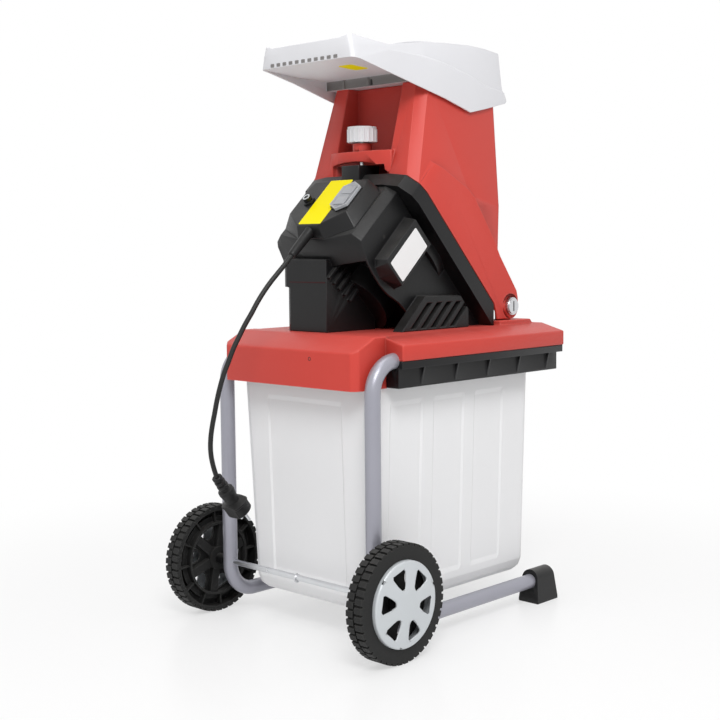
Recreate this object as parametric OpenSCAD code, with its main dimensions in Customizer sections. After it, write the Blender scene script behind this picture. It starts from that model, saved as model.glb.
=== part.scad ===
// Electric garden shredder on a two-wheeled tube frame with a slide-out collection box.
// Millimetres. Inside the modules y = 0 is the wheel axle, +y is the side with the feet,
// +x is the right side seen from the switch, and z = 0 is the floor.

/* [Wheels and axle] */
// Diameter of a wheel over its tread
wheel_d = 187; // [176:1:200]
// Width of a wheel
wheel_w = 31; // [28:1:36]
// Depth of the tread pattern
tread_h = 4; // [3:0.5:6]
// Number of tread blocks in one row
tread_blocks = 44; // [36:1:48]
// Diameter of the axle rod
axle_d = 10; // [8:0.5:12]
// Length of the spacer between a frame tube and its wheel
spacer_l = 17.2; // [12:0.2:24]
// Diameter of a hub cap
cap_d = 136; // [124:1:140]
// How far a hub cap stands out of its wheel
cap_crown = 7; // [5:0.5:10]

/* [Tube frame] */
// Outer diameter of the frame tube
tube_d = 25; // [22:0.5:27]
// Wall of the frame tube
tube_wall = 1.5; // [1:0.1:2.5]
// Distance from the deck's side to the tube's centre line
track_in = 21; // [17:0.5:23]
// Bend radius at the tube's centre line
bend_r = 50; // [42:1:54]
// Height of the lower arm's centre line
arm_z = 38; // [34:1:42]
// Length of the upper arm inside the deck
top_arm = 100; // [60:1:160]

/* [Feet] */
// Width of a foot at the floor
foot_w = 43; // [36:1:50]
// Length of a foot at the floor
foot_l = 58; // [50:1:66]
// Height of a foot above the tube's centre line
foot_crown = 21; // [17:0.5:25]
// Distance from the axle to the front of the feet
foot_front = 458; // [440:1:465]

/* [Deck] */
// Distance from the axle to the front of the deck
deck_front = 475; // [466:1:490]
// Distance from the axle to the rear of the deck
deck_rear = 22; // [18:1:30]
// Width of the deck over its side strips
deck_w = 384; // [378:1:396]
// Height of the joint between the deck and its side rails
split_z = 457; // [450:1:464]
// Height of the upright part of a side strip
strip_h = 25; // [18:1:30]
// Height of the deck's flat top above the joint
deck_h = 38; // [33:1:44]
// Depth of the rear skirt below the joint
skirt_h = 44; // [36:1:46]
// Width of the deck's flat top
ridge_w = 290; // [284:1:300]
// Wall of the deck moulding
deck_wall = 3.5; // [2.5:0.1:4.5]
// Where the wide part of the deck begins, from the axle
deck_step = 48; // [44:1:56]

/* [Side rails] */
// Depth of a rail below the joint
rail_h = 43; // [38:1:46]
// Height of the outer lip of a rail
lip_h = 12; // [8:1:16]
// Wall of a rail
rail_wall = 4; // [3:0.2:5]
// Number of gussets along a rail
gusset_n = 5; // [3:1:8]

/* [Collection box] */
// Width of the box at its top
box_w = 299; // [286:1:302]
// How much narrower each side is at the bottom
box_draft = 12; // [6:1:16]
// Height of the box bottom above the floor
box_z = 47; // [40:1:60]
// Distance from the axle to the rear of the box
box_rear = 15; // [12:1:22]
// Distance from the axle to the front of the box
box_front = 431; // [415:1:440]
// Wall of the box
box_wall = 2.5; // [1.8:0.1:3.5]
// Depth of the shallow panels in the box walls
panel_d = 2; // [1:0.25:3]

/* [Cutter head] */
// Slope of the joint between the hopper and the cutter housing
seam_tilt = 47; // [46:0.5:48]
// Distance from the axle to the middle of the cutter disc
cutter_y = 250; // [248:1:252]
// Height of the middle of the cutter disc
cutter_z = 644; // [642:1:648]
// Diameter of the cutter disc
disc_d = 190; // [170:1:194]
// Thickness of the cutter disc
disc_h = 6; // [4:0.5:8]
// How far the collar of the cutter chamber stays inside the hopper's cheeks at each side
collar_in = 0.5; // [0:0.5:2]
// Height of the collar along the motor axis
collar_h = 28; // [24:1:32]
// Wall of the cutter housing and the motor cover
case_wall = 4; // [3:0.2:5]
// Width of the motor cover
cover_w = 197; // [190:1:204]
// Length of the motor cover along the motor axis
cover_l = 161; // [156:1:166]
// Diameter of the motor shaft
shaft_d = 15; // [12:0.5:17]

/* [Hopper] */
// Height of the top rim of the hopper
hopper_top = 905; // [895:1:915]
// Width of the hopper at its cheeks
cheek_w = 260; // [256:1:264]
// Width of the hopper duct at its top rim
duct_top_w = 213; // [200:1:218]
// Distance from the axle to the front wall of the duct
duct_front = 369; // [364:1:373]
// Wall of the hopper
hopper_wall = 4; // [3:0.2:5]
// Diameter of the hinge bolts
hinge_d = 12; // [10:0.5:14]
// Distance from the axle to the hinge
hinge_y = 400; // [396:1:404]
// Height of the hinge
hinge_z = 527; // [525:0.5:530]

/* [Feed hood] */
// Height of the rear lip of the hood
lip_top = 964; // [955:1:975]
// Height of the roof at its crown
roof_top = 983; // [978:1:995]
// Wall of the hood
hood_wall = 3; // [2.5:0.1:4]

/* [Lock knob] */
// Diameter of the lock knob
knob_d = 51; // [40:1:52]
// Height of the lock knob
knob_h = 26; // [22:1:30]
// Diameter of the lock screw
screw_d = 8; // [6:0.5:9]
// Travel of the lock screw into its nut
lock_travel = 12; // [8:1:14]

/* [Cord] */
// Diameter of the mains cord
cord_d = 8; // [6.5:0.5:9]
// Length of the strain relief sleeve
sleeve_l = 60; // [40:1:60]

/* [Hidden] */
$fn = 48;
run = 0.05;
gap = 0.3;
over = 1;
red = [0.79, 0.24, 0.21];
black = [0.13, 0.13, 0.14];
pale = [0.88, 0.88, 0.9];
zinc = [0.72, 0.73, 0.76];

// Wheels and frame
wheel_r = wheel_d / 2;
axle_y = (wheel_r - deck_front) / 2;
tube_r = tube_d / 2;
tube_x = deck_w / 2 - track_in;
wheel_in = tube_x + tube_r + spacer_l + gap;
wheel_out = wheel_in + wheel_w;
hub_r = axle_d + 10;
hub_l = wheel_w - 9;
web_x = wheel_w / 2 - 3;
rim_r = cap_d / 2 - 8;
tyre_in = wheel_r - tread_h - 5;
wheel_turn = -11.5;
cap_t = 2.5;
nut_h = 8;
foot_grip = 46;
foot_rear = foot_front - foot_l;
tube_end = foot_rear + foot_grip;

// Deck and rails
deck_top = split_z + deck_h;
crease_z = split_z + strip_h;
skirt_z = split_z - skirt_h;
rear_crease = deck_top - 23;
rear_ridge = 24;
rear_half = tube_x - tube_r - 3.5;
rear_corner = 10;
rail_bottom = split_z - rail_h;
rail_block = 17;
rail_out = tube_x + tube_r - 1.5;
rail_lip = deck_w / 2 - 2;
ledge_w = rail_out - rail_wall - rear_half - gap;
ledge_h = 4;
rim_h = 4;
rim_slope = 1;
rim_z = rail_bottom + ledge_h + gap + rim_slope;
box_top = rim_z + rim_h + 2;
rim_half = rail_out - rail_wall - 6;

// Cutter head, in a frame of its own: x, v up the joint, u along the motor axis
collar_top = 150;
cover_top = collar_top - 4;
control_top = cover_top + 22;
chamber_r = disc_d / 2 + 7;
chamber_h = 40;
collar_front = hinge_y - 46;
chute_half = 58;
chute_rear = cutter_y + 28;
chute_front = collar_front - 8;
chute_end = deck_top - 25;
bearing_r = shaft_d / 2 + 10;
bearing_h = 11;
bearing_u = chamber_h + 2;
frame_u = chamber_h + 6;
frame_l = 104;
frame_r = 56;
frame_wall = 3.4;
stator_r = frame_r - frame_wall - gap;
stator_u = frame_u + 28;
stator_l = 40;
rotor_r = 28;
air_gap = 0.7;
fan_r = 46;
fan_u = frame_u + 13;
brush_u = stator_u + stator_l + 7;
commutator_r = shaft_d / 2 + 9.5;
rear_bearing_u = frame_u + frame_l - bearing_h - 2;
disc_u = 10;
vane_h = 14;
cover_fall = 13;
cover_bevel = 16;
nose_half = 30;
bay_u = cover_l - 43;
bay_v = 100;
drum_r = frame_r + 8;
drum_end = frame_u + frame_l + 6;
can_half = nose_half - 2;
can_left = 68;
can_seam = 574;
can_rear = 45;
can_top = 614;
trim_x = cover_w / 2 + 20;
pad_x = cover_w / 2 + 23.5;

// Hopper
seam_gap = 0.4;
rear_lean = 0.27;
rear_foot_y = 166;
rear_foot_z = 800;
duct_taper = 0.101;
front_lean = 0.038;
duct_low = cutter_z - 31;
cheek_step = 3;
shoulder_z = hopper_top - (cheek_w / 2 - cheek_step - duct_top_w / 2) / duct_taper;
corner = 15;
shelf_z = 793;
pocket_half = 62;
band_half = 71;
pocket_deep = 52;
lock_y = 161;
boss_r = screw_d / 2 + 12;
boss_h = 13;
knob_z = shelf_z + boss_h + 2;
socket_top = shelf_z - 24;
socket_half = 20;
screw_tip = socket_top + 1.5;
ear_r = hinge_d / 2 + 16.5;
deck_ear_r = hinge_d / 2 + 9;
ear_in = cheek_w / 2 - 10.5;
ear_gap = 0.6;
pedestal_h = 8;

// Controls on the control box, as distances along x and u
switch_x = 44;
switch_u = 79;
button_travel = 2.5;
switch_h = 2;
boot_h = 4.5;
reset_x = -37;
reset_u = 86;
sleeve_v = (cover_top + control_top) / 2;
sleeve_u = cover_l - 18;
sleeve_r = cord_d / 2 + 4;
sleeve_root = 14;

// Mains cord after its sleeve, chosen by eye from the picture
cord_route = [
    [-1, -20, 606], [-3, -33, 593], [-6, -46, 579], [-9, -58, 564], [-12, -69, 548],
    [-15, -79, 531], [-19, -89, 514], [-23, -98, 496], [-27, -107, 477], [-31, -114, 457],
    [-35, -121, 437], [-39, -126, 416], [-42, -130, 396], [-45, -133, 375], [-48, -136, 354],
    [-51, -137, 334], [-54, -135, 314], [-56, -130, 294]
];
plug_tilt = 37.5;
plug_at = [-58, -121, 271];
plug_l = 80;
plug_r = 20;
plug_flat = 15.5;

// A point of the cutter head's frame as y and z
function head(u, v) = [cutter_y - sin(seam_tilt) * u - cos(seam_tilt) * v,
                       cutter_z - cos(seam_tilt) * u + sin(seam_tilt) * v];

// Height of the joint plane at a given y
function seam_z(y) = cutter_z + (cutter_y - y) * tan(seam_tilt);

// Rear face of the hopper at a given height
function hopper_rear(z) = rear_foot_y + rear_lean * (z - rear_foot_z);

// Middle of a ring of points
function centre(ring) = [for (i = [0:len(ring) - 1]) 1] * ring / len(ring);

// Half-width of the hopper duct at a given height
function duct_half(z) = min(cheek_w / 2 - cheek_step, duct_top_w / 2 + duct_taper * (hopper_top - z));

// Puts a piece drawn from the axle into the object's own frame
module placed() {
    translate([0, axle_y, 0]) children();
}

// Puts a piece drawn in the cutter head's frame into place
module on_head() {
    translate([0, cutter_y, cutter_z]) rotate([180 - seam_tilt, 0, 0]) children();
}

module both_sides() {
    children();
    mirror([1, 0, 0]) children();
}

// Prism of a y and z outline, from x0 to x1
module side_prism(points, x0, x1) {
    translate([x0, 0, 0]) rotate([90, 0, 90]) linear_extrude(x1 - x0) polygon(points);
}

// Prism of an x and z outline, from y0 to y1
module cross_prism(points, y0, y1) {
    translate([0, y1, 0]) rotate([90, 0, 0]) linear_extrude(y1 - y0) polygon(points);
}

// Round bar along x
module bar_x(r, x0, x1) {
    translate([x0, 0, 0]) rotate([0, 90, 0]) cylinder(r = r, h = x1 - x0);
}

// Skin over a row of rings with equal counts of points, closed by a fan at both ends
module basin_loft(rings) {
    n = len(rings[0]);
    m = len(rings);
    last = (m - 1) * n;
    polyhedron(
        points = concat([for (ring = rings) each ring], [centre(rings[0]), centre(rings[m - 1])]),
        faces = concat(
            [for (i = [0:n - 1]) [m * n, i, (i + 1) % n]],
            [for (k = [0:m - 2], i = [0:n - 1]) [k * n + i, (k + 1) * n + i, (k + 1) * n + (i + 1) % n]],
            [for (k = [0:m - 2], i = [0:n - 1]) [k * n + i, (k + 1) * n + (i + 1) % n, k * n + (i + 1) % n]],
            [for (i = [0:n - 1]) [m * n + 1, last + (i + 1) % n, last + i]]
        ),
        convexity = 8
    );
}

// Skin over a row of rings with equal counts of points, closed at both ends
module loft(rings) {
    n = len(rings[0]);
    m = len(rings);
    last = (m - 1) * n;
    polyhedron(
        points = [for (ring = rings) each ring],
        faces = concat(
            [[for (i = [0:n - 1]) i]],
            [for (k = [0:m - 2], i = [0:n - 1]) [k * n + i, (k + 1) * n + i, (k + 1) * n + (i + 1) % n]],
            [for (k = [0:m - 2], i = [0:n - 1]) [k * n + i, (k + 1) * n + (i + 1) % n, k * n + (i + 1) % n]],
            [[for (i = [n - 1:-1:0]) last + i]]
        ),
        convexity = 8
    );
}

// Skin over rings that come back to the first one, as on a wall that goes all round
module loop_loft(rings) {
    n = len(rings[0]);
    m = len(rings);
    polyhedron(
        points = [for (ring = rings) each ring],
        faces = concat(
            [for (k = [0:m - 1], i = [0:n - 1]) let (j = (k + 1) % m)
                [k * n + i, j * n + i, j * n + (i + 1) % n]],
            [for (k = [0:m - 1], i = [0:n - 1]) let (j = (k + 1) % m)
                [k * n + i, j * n + (i + 1) % n, k * n + (i + 1) % n]]
        ),
        convexity = 8
    );
}

// Wheels and frame

module tube_run(r, extra) {
    low = arm_z + bend_r;
    high = split_z - bend_r;
    translate([tube_x, bend_r, arm_z]) rotate([-90, 0, 0]) cylinder(r = r, h = tube_end - bend_r + extra);
    translate([tube_x, bend_r, low]) rotate([90, 0, 90]) rotate([0, 0, 180])
        rotate_extrude(angle = 90) translate([bend_r, 0]) circle(r = r);
    translate([tube_x, 0, low]) cylinder(r = r, h = high - low);
    translate([tube_x, bend_r, high]) rotate([90, 0, 90]) rotate([0, 0, 90])
        rotate_extrude(angle = 90) translate([bend_r, 0]) circle(r = r);
    translate([tube_x, bend_r, split_z]) rotate([-90, 0, 0]) cylinder(r = r, h = top_arm + extra);
}

module frame_tube() {
    color(zinc) difference() {
        tube_run(tube_r, 0);
        tube_run(tube_r - tube_wall, over);
        translate([0, 0, wheel_r]) bar_x(axle_d / 2 + run, tube_x - tube_d, tube_x + tube_d);
    }
}

module right_frame_tube() {
    frame_tube();
}

module left_frame_tube() {
    mirror([1, 0, 0]) frame_tube();
}

module axle() {
    reach = wheel_in + hub_l + nut_h + 2;
    color(zinc) translate([0, 0, wheel_r]) bar_x(axle_d / 2, -reach, reach);
}

module axle_spacers() {
    color(black) both_sides() translate([0, 0, wheel_r]) difference() {
        bar_x(axle_d / 2 + 4, tube_x + tube_r, wheel_in - gap);
        bar_x(axle_d / 2 + run, tube_x, wheel_in);
    }
}

module axle_nuts() {
    start = wheel_in + hub_l + gap;
    color(zinc) both_sides() translate([0, 0, wheel_r]) difference() {
        translate([start, 0, 0]) rotate([0, 90, 0]) cylinder(r = axle_d * 0.9, h = nut_h, $fn = 6);
        bar_x(axle_d / 2 + run, start - over, start + nut_h + over);
    }
}

// One row of tread blocks as a toothed ring
module tread_row(turn, h) {
    pitch = 360 / tread_blocks;
    edge = [0, 0.68, 0.73, 0.95];
    linear_extrude(h) polygon([for (i = [0:tread_blocks - 1], k = [0:3])
        let (a = pitch * (i + edge[k]) + turn, r = k < 2 ? wheel_r : wheel_r - tread_h)
        [r * cos(a), r * sin(a)]]);
}

// Six windows between the spokes of a wheel, grown by t
module wheel_windows(t) {
    r = cap_d / 2;
    for (a = [30:60:330]) rotate([0, 0, a]) linear_extrude(3 * wheel_w)
        polygon([for (p = [[0.485, -5], [0.535, -10.5], [0.61, -13.5], [0.77, -15.5], [0.815, -13],
                           [0.815, 13], [0.77, 15.5], [0.61, 13.5], [0.535, 10.5], [0.485, 5]])
            [p[0] * (r + t) * cos(p[1]), p[0] * (r + t) * sin(p[1]) * (1 + t / 20)]]);
}

// A wheel that lies on z = 0 with its inner side down: a hollow tyre with ribs, and spokes
module wheel() {
    row = (wheel_w - 3) / 2;
    spoke_w = 15;
    color(black) difference() {
        union() {
            difference() {
                union() {
                    translate([0, 0, 1]) cylinder(r = wheel_r - tread_h, h = wheel_w - 2);
                    tread_row(0, row);
                    translate([0, 0, wheel_w - row]) tread_row(180 / tread_blocks, row);
                }
                translate([0, 0, -over]) cylinder(r = rim_r, h = web_x + over);
                translate([0, 0, -over]) difference() {
                    cylinder(r = tyre_in, h = web_x + 8);
                    cylinder(r = rim_r + 4, h = web_x + 9);
                    translate([0, 0, web_x]) cylinder(r = cap_d / 2 + 5, h = 9);
                }
                translate([0, 0, web_x + 4]) cylinder(r = cap_d / 2 + 1, h = wheel_w);
                wheel_windows(3);
            }
            cylinder(r = hub_r, h = hub_l);
            intersection() {
                translate([0, 0, 3]) cylinder(r = rim_r + 2, h = web_x);
                for (a = [0:60:300]) rotate([0, 0, a])
                    translate([0, -spoke_w / 2, 0]) cube([rim_r + 1, spoke_w, web_x + 1]);
            }
            for (a = [15:30:345]) rotate([0, 0, a])
                translate([rim_r + 3, -1.25, 4]) cube([tyre_in - rim_r - 2, 2.5, web_x - 3]);
        }
        translate([0, 0, -over]) cylinder(r = axle_d / 2 + run, h = wheel_w + 2 * over);
    }
}

module right_wheel() {
    translate([wheel_in, 0, wheel_r]) rotate([0, 90, 0]) rotate([0, 0, wheel_turn]) wheel();
}

module left_wheel() {
    mirror([1, 0, 0]) right_wheel();
}

// Dished cap with six openings between its spokes and three notches in its edge
module hub_cap() {
    r = cap_d / 2;
    base = web_x + 4;
    step = wheel_w + cap_crown;
    face = step + 4;
    color(pale) difference() {
        rotate_extrude() polygon([
            [0, face - cap_t], [0.36 * r, face - cap_t], [0.5 * r, face - cap_t - 1],
            [0.84 * r, step - cap_t], [r - cap_t, step - cap_t - 1], [r - cap_t, base],
            [r, base], [r, step - 2], [r - 2, step], [0.86 * r, step + 0.5],
            [0.52 * r, face - 1], [0.38 * r, face], [0, face]
        ]);
        wheel_windows(0);
        for (a = [0:120:240]) rotate([0, 0, a]) translate([r, 0, step]) cube([7, 7, 9], center = true);
    }
}

module right_hub_cap() {
    translate([wheel_in, 0, wheel_r]) rotate([0, 90, 0]) rotate([0, 0, wheel_turn]) hub_cap();
}

module left_hub_cap() {
    mirror([1, 0, 0]) right_hub_cap();
}

// Flared block with a round crown that takes the end of the lower tube arm
module foot() {
    crown = foot_crown - 4;
    half = foot_w / 2;
    color(black) difference() {
        intersection() {
            translate([tube_x, foot_front, 0]) rotate([90, 0, 0]) linear_extrude(foot_l) {
                translate([0, arm_z + 4]) circle(r = crown);
                polygon([[-half, 0], [half, 0], [half, 5], [crown, arm_z + 4],
                    [-crown, arm_z + 4], [-half, 5]]);
            }
            side_prism([[foot_rear, 0], [foot_front, 0], [foot_front, 6], [foot_front - 7, arm_z + 30],
                        [foot_rear + 6, arm_z + 30], [foot_rear, 6]], tube_x - half, tube_x + half);
        }
        translate([tube_x, foot_rear - over, arm_z]) rotate([-90, 0, 0])
            cylinder(r = tube_r + run, h = foot_grip + over);
    }
}

module right_foot() {
    foot();
}

module left_foot() {
    mirror([1, 0, 0]) foot();
}

// Deck, rails and box

// Half of the deck's wide part as an x and z outline, with its wall taken off
function strip_outline(t) = let (w = deck_w / 2 - t, r = ridge_w / 2 - t / 2)
    [[-w, split_z - (t > 0 ? over : 0)], [w, split_z - (t > 0 ? over : 0)], [w, crease_z - t / 2],
     [r, deck_top - t], [-r, deck_top - t], [-w, crease_z - t / 2]];

// The deck's rear part, with its wall taken off
module deck_tail(t) {
    half = rear_half - t;
    back = -deck_rear + t;
    low = skirt_z - (t > 0 ? over : 0);
    front = deck_step + (t > 0 ? deck_wall + over : deck_wall);
    intersection() {
        side_prism([[back, low], [front, low], [front, deck_top - t], [rear_ridge, deck_top - t],
                    [back, rear_crease - t / 2]], -half, half);
        linear_extrude(deck_top + over) polygon([
            [-half, front], [-half, back + rear_corner], [-half + rear_corner, back],
            [half - rear_corner, back], [half, back + rear_corner], [half, front]]);
    }
}

module deck_cover() {
    color(red) difference() {
        union() {
            difference() {
                union() {
                    cross_prism(strip_outline(0), deck_step, deck_front);
                    deck_tail(0);
                }
                cross_prism(strip_outline(deck_wall), deck_step + deck_wall, deck_front - deck_wall);
                deck_tail(deck_wall);
            }
            both_sides() hinge_stand();
        }
        translate([-chute_half - case_wall - gap, chute_rear - case_wall - gap, chute_end - over])
            cube([2 * (chute_half + case_wall + gap), chute_front - chute_rear + 2 * (case_wall + gap), 60]);
        both_sides() translate([tube_x, 0, split_z]) rotate([-90, 0, 0])
            cylinder(r = tube_r + run, h = deck_step + 20);
        translate([0, hinge_y, hinge_z]) bar_x(hinge_d / 2 + run, -deck_w, deck_w);
    }
}

// Stand on the deck that carries one hinge bolt
module hinge_stand() {
    inner = ear_in - 13.5;
    outer = ear_in - ear_gap;
    base = deck_top - deck_wall;
    side_prism([[collar_front + 4, base], [hinge_y + 56, base], [hinge_y + 46, deck_top + pedestal_h],
                [collar_front + 4, deck_top + pedestal_h]], inner - 6, cheek_w / 2 + 10);
    side_prism([[hinge_y - deck_ear_r, base], [hinge_y + deck_ear_r, base],
                [hinge_y + deck_ear_r, hinge_z], [hinge_y - deck_ear_r, hinge_z]], inner, outer);
    translate([0, hinge_y, hinge_z]) bar_x(deck_ear_r, inner, outer);
}

// Slotted pivot bolts with their nuts inside the deck's ears
module hinge_bolts() {
    inner = ear_in - 13.5;
    face = cheek_w / 2 + ear_gap;
    color(zinc) both_sides() translate([0, hinge_y, hinge_z]) difference() {
        union() {
            bar_x(hinge_d / 2, inner - 10, face + 1);
            bar_x(hinge_d / 2 + 9.5, face, face + 5);
            bar_x(hinge_d / 2 + 7.5, face, face + 7);
            translate([inner - 9 - gap, 0, 0]) rotate([0, 90, 0]) cylinder(r = hinge_d * 0.9, h = 9, $fn = 6);
        }
        translate([face + 7, 0, 0]) cube([4, 3, hinge_d + 6], center = true);
    }
}

// Channel under the deck whose inner ledge carries the rim of the box
module rail() {
    wall_in = rail_out - rail_wall;
    inner = wall_in - ledge_w;
    first = deck_step + 52;
    pitch = (deck_front - 42 - first) / (gusset_n - 1);
    lip_z = split_z - lip_h;
    color(black) difference() {
        union() {
            cross_prism([[inner, rail_bottom], [rail_out, rail_bottom], [rail_out, lip_z],
                [rail_lip, lip_z],
                         [rail_lip, split_z], [inner, split_z], [inner, split_z - rail_block],
                         [wall_in, split_z - rail_block], [wall_in, rail_bottom + ledge_h],
                         [inner, rail_bottom + ledge_h]], deck_step, deck_front - 8);
            cross_prism([[inner, lip_z], [rail_lip, lip_z], [rail_lip, split_z], [inner, split_z]],
                        deck_front - 9, deck_front - 1);
            cross_prism([[inner, rail_bottom], [rail_out, rail_bottom], [rail_out, lip_z],
                [inner, lip_z]],
                        deck_step, deck_step + rail_wall);
            for (i = [0:gusset_n - 1])
                cross_prism([[rail_out - over, lip_z + over], [rail_lip - 1, lip_z + over],
                             [rail_out, rail_bottom + 3], [rail_out - over, rail_bottom + 3]],
                            first + i * pitch, first + i * pitch + 4);
        }
        translate([tube_x, 0, split_z]) rotate([-90, 0, 0])
            cylinder(r = tube_r + run, h = bend_r + top_arm + gap);
    }
}

module right_rail() {
    rail();
}

module left_rail() {
    mirror([1, 0, 0]) rail();
}

// One level of the box: half-width, rear and front, corner radius, panel depth, flange
function box_ring(z, inset, r, d, flange) =
    let (lean = box_draft * (box_top - z) / (box_top - box_z),
         w = box_w / 2 - lean - inset,
         a = box_rear + lean + inset,
         b = box_front - inset,
         start = deck_step + 16,
         side_pitch = (box_front - 50 - start) / 3,
         ys = [for (k = [0:2]) start + k * side_pitch],
         run_w = side_pitch - 26,
         end_half = box_w / 2 - 62,
         s = 4,
         right = [for (y0 = ys) each [[w + flange, y0], [w + flange - d, y0 + s],
                                      [w + flange - d, y0 + run_w - s], [w + flange, y0 + run_w]]],
         turn = [0, 30, 60, 90],
         rear = [[-end_half, a], [-end_half + s, a + d], [end_half - s, a + d], [end_half, a]],
         ring = concat(
             rear,
             [for (t = turn) [w - r + r * sin(t), a + r - r * cos(t)]],
             [[w, max(deck_step + 6, a + r + 1)]],
             right,
             [for (t = turn) [w - r + r * cos(t), b - r + r * sin(t)]],
             [for (p = [[end_half, b], [end_half - s, b - d], [-end_half + s, b - d],
              [-end_half, b]]) p],
             [for (t = turn) [-w + r - r * sin(t), b - r + r * cos(t)]],
             [for (i = [len(right) - 1:-1:0]) [-right[i][0], right[i][1]]],
             [[-w, max(deck_step + 6, a + r + 1)]],
             [for (t = turn) [-w + r - r * cos(t), a + r - r * sin(t)]]
         ))
    [for (p = ring) [p[0], p[1], z]];

// Open-topped bin whose side flanges hang in the rails
module collection_box() {
    t = box_wall;
    edge = 26;
    flange = rim_half - box_w / 2;
    low_panel = box_z + 46;
    high_panel = box_top - 44;
    color(pale) basin_loft([
        box_ring(box_z, edge, 8, 0, 0),
        box_ring(box_z + 4, 12, 11, 0, 0),
        box_ring(box_z + 12, 4, 14, 0, 0),
        box_ring(box_z + edge, 0, 16, 0, 0),
        box_ring(low_panel - 8, 0, 16, 0, 0),
        box_ring(low_panel, 0, 16, panel_d, 0),
        box_ring(high_panel, 0, 16, panel_d, 0),
        box_ring(high_panel + 8, 0, 16, 0, 0),
        box_ring(rim_z - rim_slope, 0, 16, 0, 0),
        box_ring(rim_z, 0, 16, 0, flange),
        box_ring(rim_z + rim_h, 0, 16, 0, flange),
        box_ring(rim_z + rim_h + 0.5, 0, 16, 0, 0),
        box_ring(box_top, 0, 16, 0, 0),
        box_ring(box_top, t, 14, 0, 0),
        box_ring(high_panel + 8, t, 14, 0, 0),
        box_ring(high_panel, t, 14, panel_d, 0),
        box_ring(low_panel, t, 14, panel_d, 0),
        box_ring(low_panel - 8, t, 14, 0, 0),
        box_ring(box_z + edge, t, 14, 0, 0),
        box_ring(box_z + 12, 4 + t, 12, 0, 0),
        box_ring(box_z + 4 + t, 12 + t, 9, 0, 0),
        box_ring(box_z + t, edge + t, 6, 0, 0)
    ]);
}

// Cutter head

// Outline of the joint, with cut upper corners, as x and v
function seam_outline(w, top) = [
    [-w, -320], [w, -320], [w, top - 44], [w - 4.5, top - 26], [w - 22, top - 5], [w - 55, top],
    [-(w - 55), top], [-(w - 22), top - 5], [-(w - 4.5), top - 26], [-w, top - 44]];

// Everything above the deck and behind the hopper's cheeks
module above_deck() {
    side_prism([[-200, deck_top], [collar_front, deck_top], [collar_front, 900], [-200, 900]],
               -deck_w / 2, deck_w / 2);
}

// Collar and cutter chamber, with the front bearing seat and the discharge chute
module cutter_housing() {
    seam_side = head(5, -70);
    floor_side = head(chamber_h - 2, -70);
    lip_y = chute_front;
    color(black) difference() {
        union() {
            intersection() {
                on_head() linear_extrude(collar_h)
                    polygon(seam_outline(cheek_w / 2 - collar_in, collar_top));
                above_deck();
            }
            on_head() cylinder(r = chamber_r + case_wall, h = frame_u);
            on_head() translate([0, 0, chamber_h]) cylinder(r = bearing_r + 7, h = bearing_h + 4);
            side_prism([[chute_rear - case_wall, chute_end], [chute_front + case_wall, chute_end],
                        [chute_front + case_wall, seam_z(chute_front + case_wall) - 4], head(4, -60),
                        head(chamber_h, -60), [chute_rear - case_wall, head(chamber_h, -70)[1]]],
                       -chute_half - case_wall, chute_half + case_wall);
        }
        on_head() translate([0, 0, -over]) cylinder(r = chamber_r, h = chamber_h + over);
        on_head() translate([0, 0, -over]) cylinder(r = bearing_r - 4, h = 80);
        on_head() translate([0, 0, bearing_u]) cylinder(r = bearing_r + run, h = 80);
        side_prism([[chute_rear, chute_end - over], [chute_front, chute_end - over],
                    [lip_y, seam_z(lip_y) - 8], seam_side, floor_side,
                    [chute_rear, head(chamber_h, -80)[1]]], -chute_half, chute_half);
    }
}

// Outline of the motor cover at one x, reaching out by a at its top and by b below, less its wall
function cover_ring(x, top, a, b, t) = let (l = cover_l - t, start = collar_h - (t > 0 ? over : 0))
    [for (p = [[start, top - t], [l - 17 + a, top - t], [l - 12 + b, 126 - t / 2],
     [l - 4 + b, 96], [l - 1 + b, 76],
               [l + b, 51], [l - 2 + b, 29], [l - 13 + b, -1], [l - 21 + b, -60], [l - 21 + b, -300],
               [start, -300]]) [x, p[1], p[0]]];

// Saddle over the motor, with bevelled shoulders and a nose in the middle of its end
module saddle(t) {
    w = cover_w / 2 - t;
    s = w - cover_bevel + t / 2;
    low = cover_top - cover_fall + t / 2;
    on_head() loft([
        cover_ring(-w, low, 0, 0, t), cover_ring(-s, cover_top, -3, 2, t),
            cover_ring(-nose_half, cover_top, 9, 12, t),
        cover_ring(nose_half, cover_top, 9, 12, t), cover_ring(s, cover_top, -3, 2, t),
            cover_ring(w, low, 0, 0, t)]);
}

// Open space at the end of the saddle, between its side walls
module end_bay(t) {
    half = cover_w / 2 - case_wall + t;
    on_head() translate([-half, -500, bay_u - t]) cube([2 * half, 500 + bay_v + t, 400]);
}

// Plan of the can, from its left side to its near side
function can_plan(left, t) = let (x = t - left, y = can_rear + t, front = cutter_y - 90)
    [[x, front], [x, y + 10], [x + 3, y + 3], [x + 10, y], [can_half - t, y], [can_half - t, front]];

// Round motor drum and the can behind it, which is wider on the far side
module drum(t) {
    lift = t > 0 ? over : 0;
    on_head() translate([0, 0, collar_h - lift]) cylinder(r = drum_r - t, h = drum_end - collar_h - t + lift);
    translate([0, 0, deck_top - 20]) linear_extrude(can_seam - deck_top + 20 + lift)
        polygon(can_plan(can_left, t));
    translate([0, 0, can_seam - 6 + t]) linear_extrude(can_top - can_seam + 6 - 2 * t)
        polygon(can_plan(can_left + 9, t));
}

// The whole cover with its wall taken off
module cover_body(t) {
    low = deck_top - (t > 0 ? over : 0);
    intersection() {
        union() {
            difference() {
                saddle(t);
                end_bay(t);
            }
            drum(t);
        }
        on_head() translate([-200, -400, collar_h - (t > 0 ? over : 0)]) cube([400, 800, 400]);
        side_prism([[-200, low], [collar_front - t, low], [collar_front - t, 900],
            [-200, 900]], -200, 200);
    }
}

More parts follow.
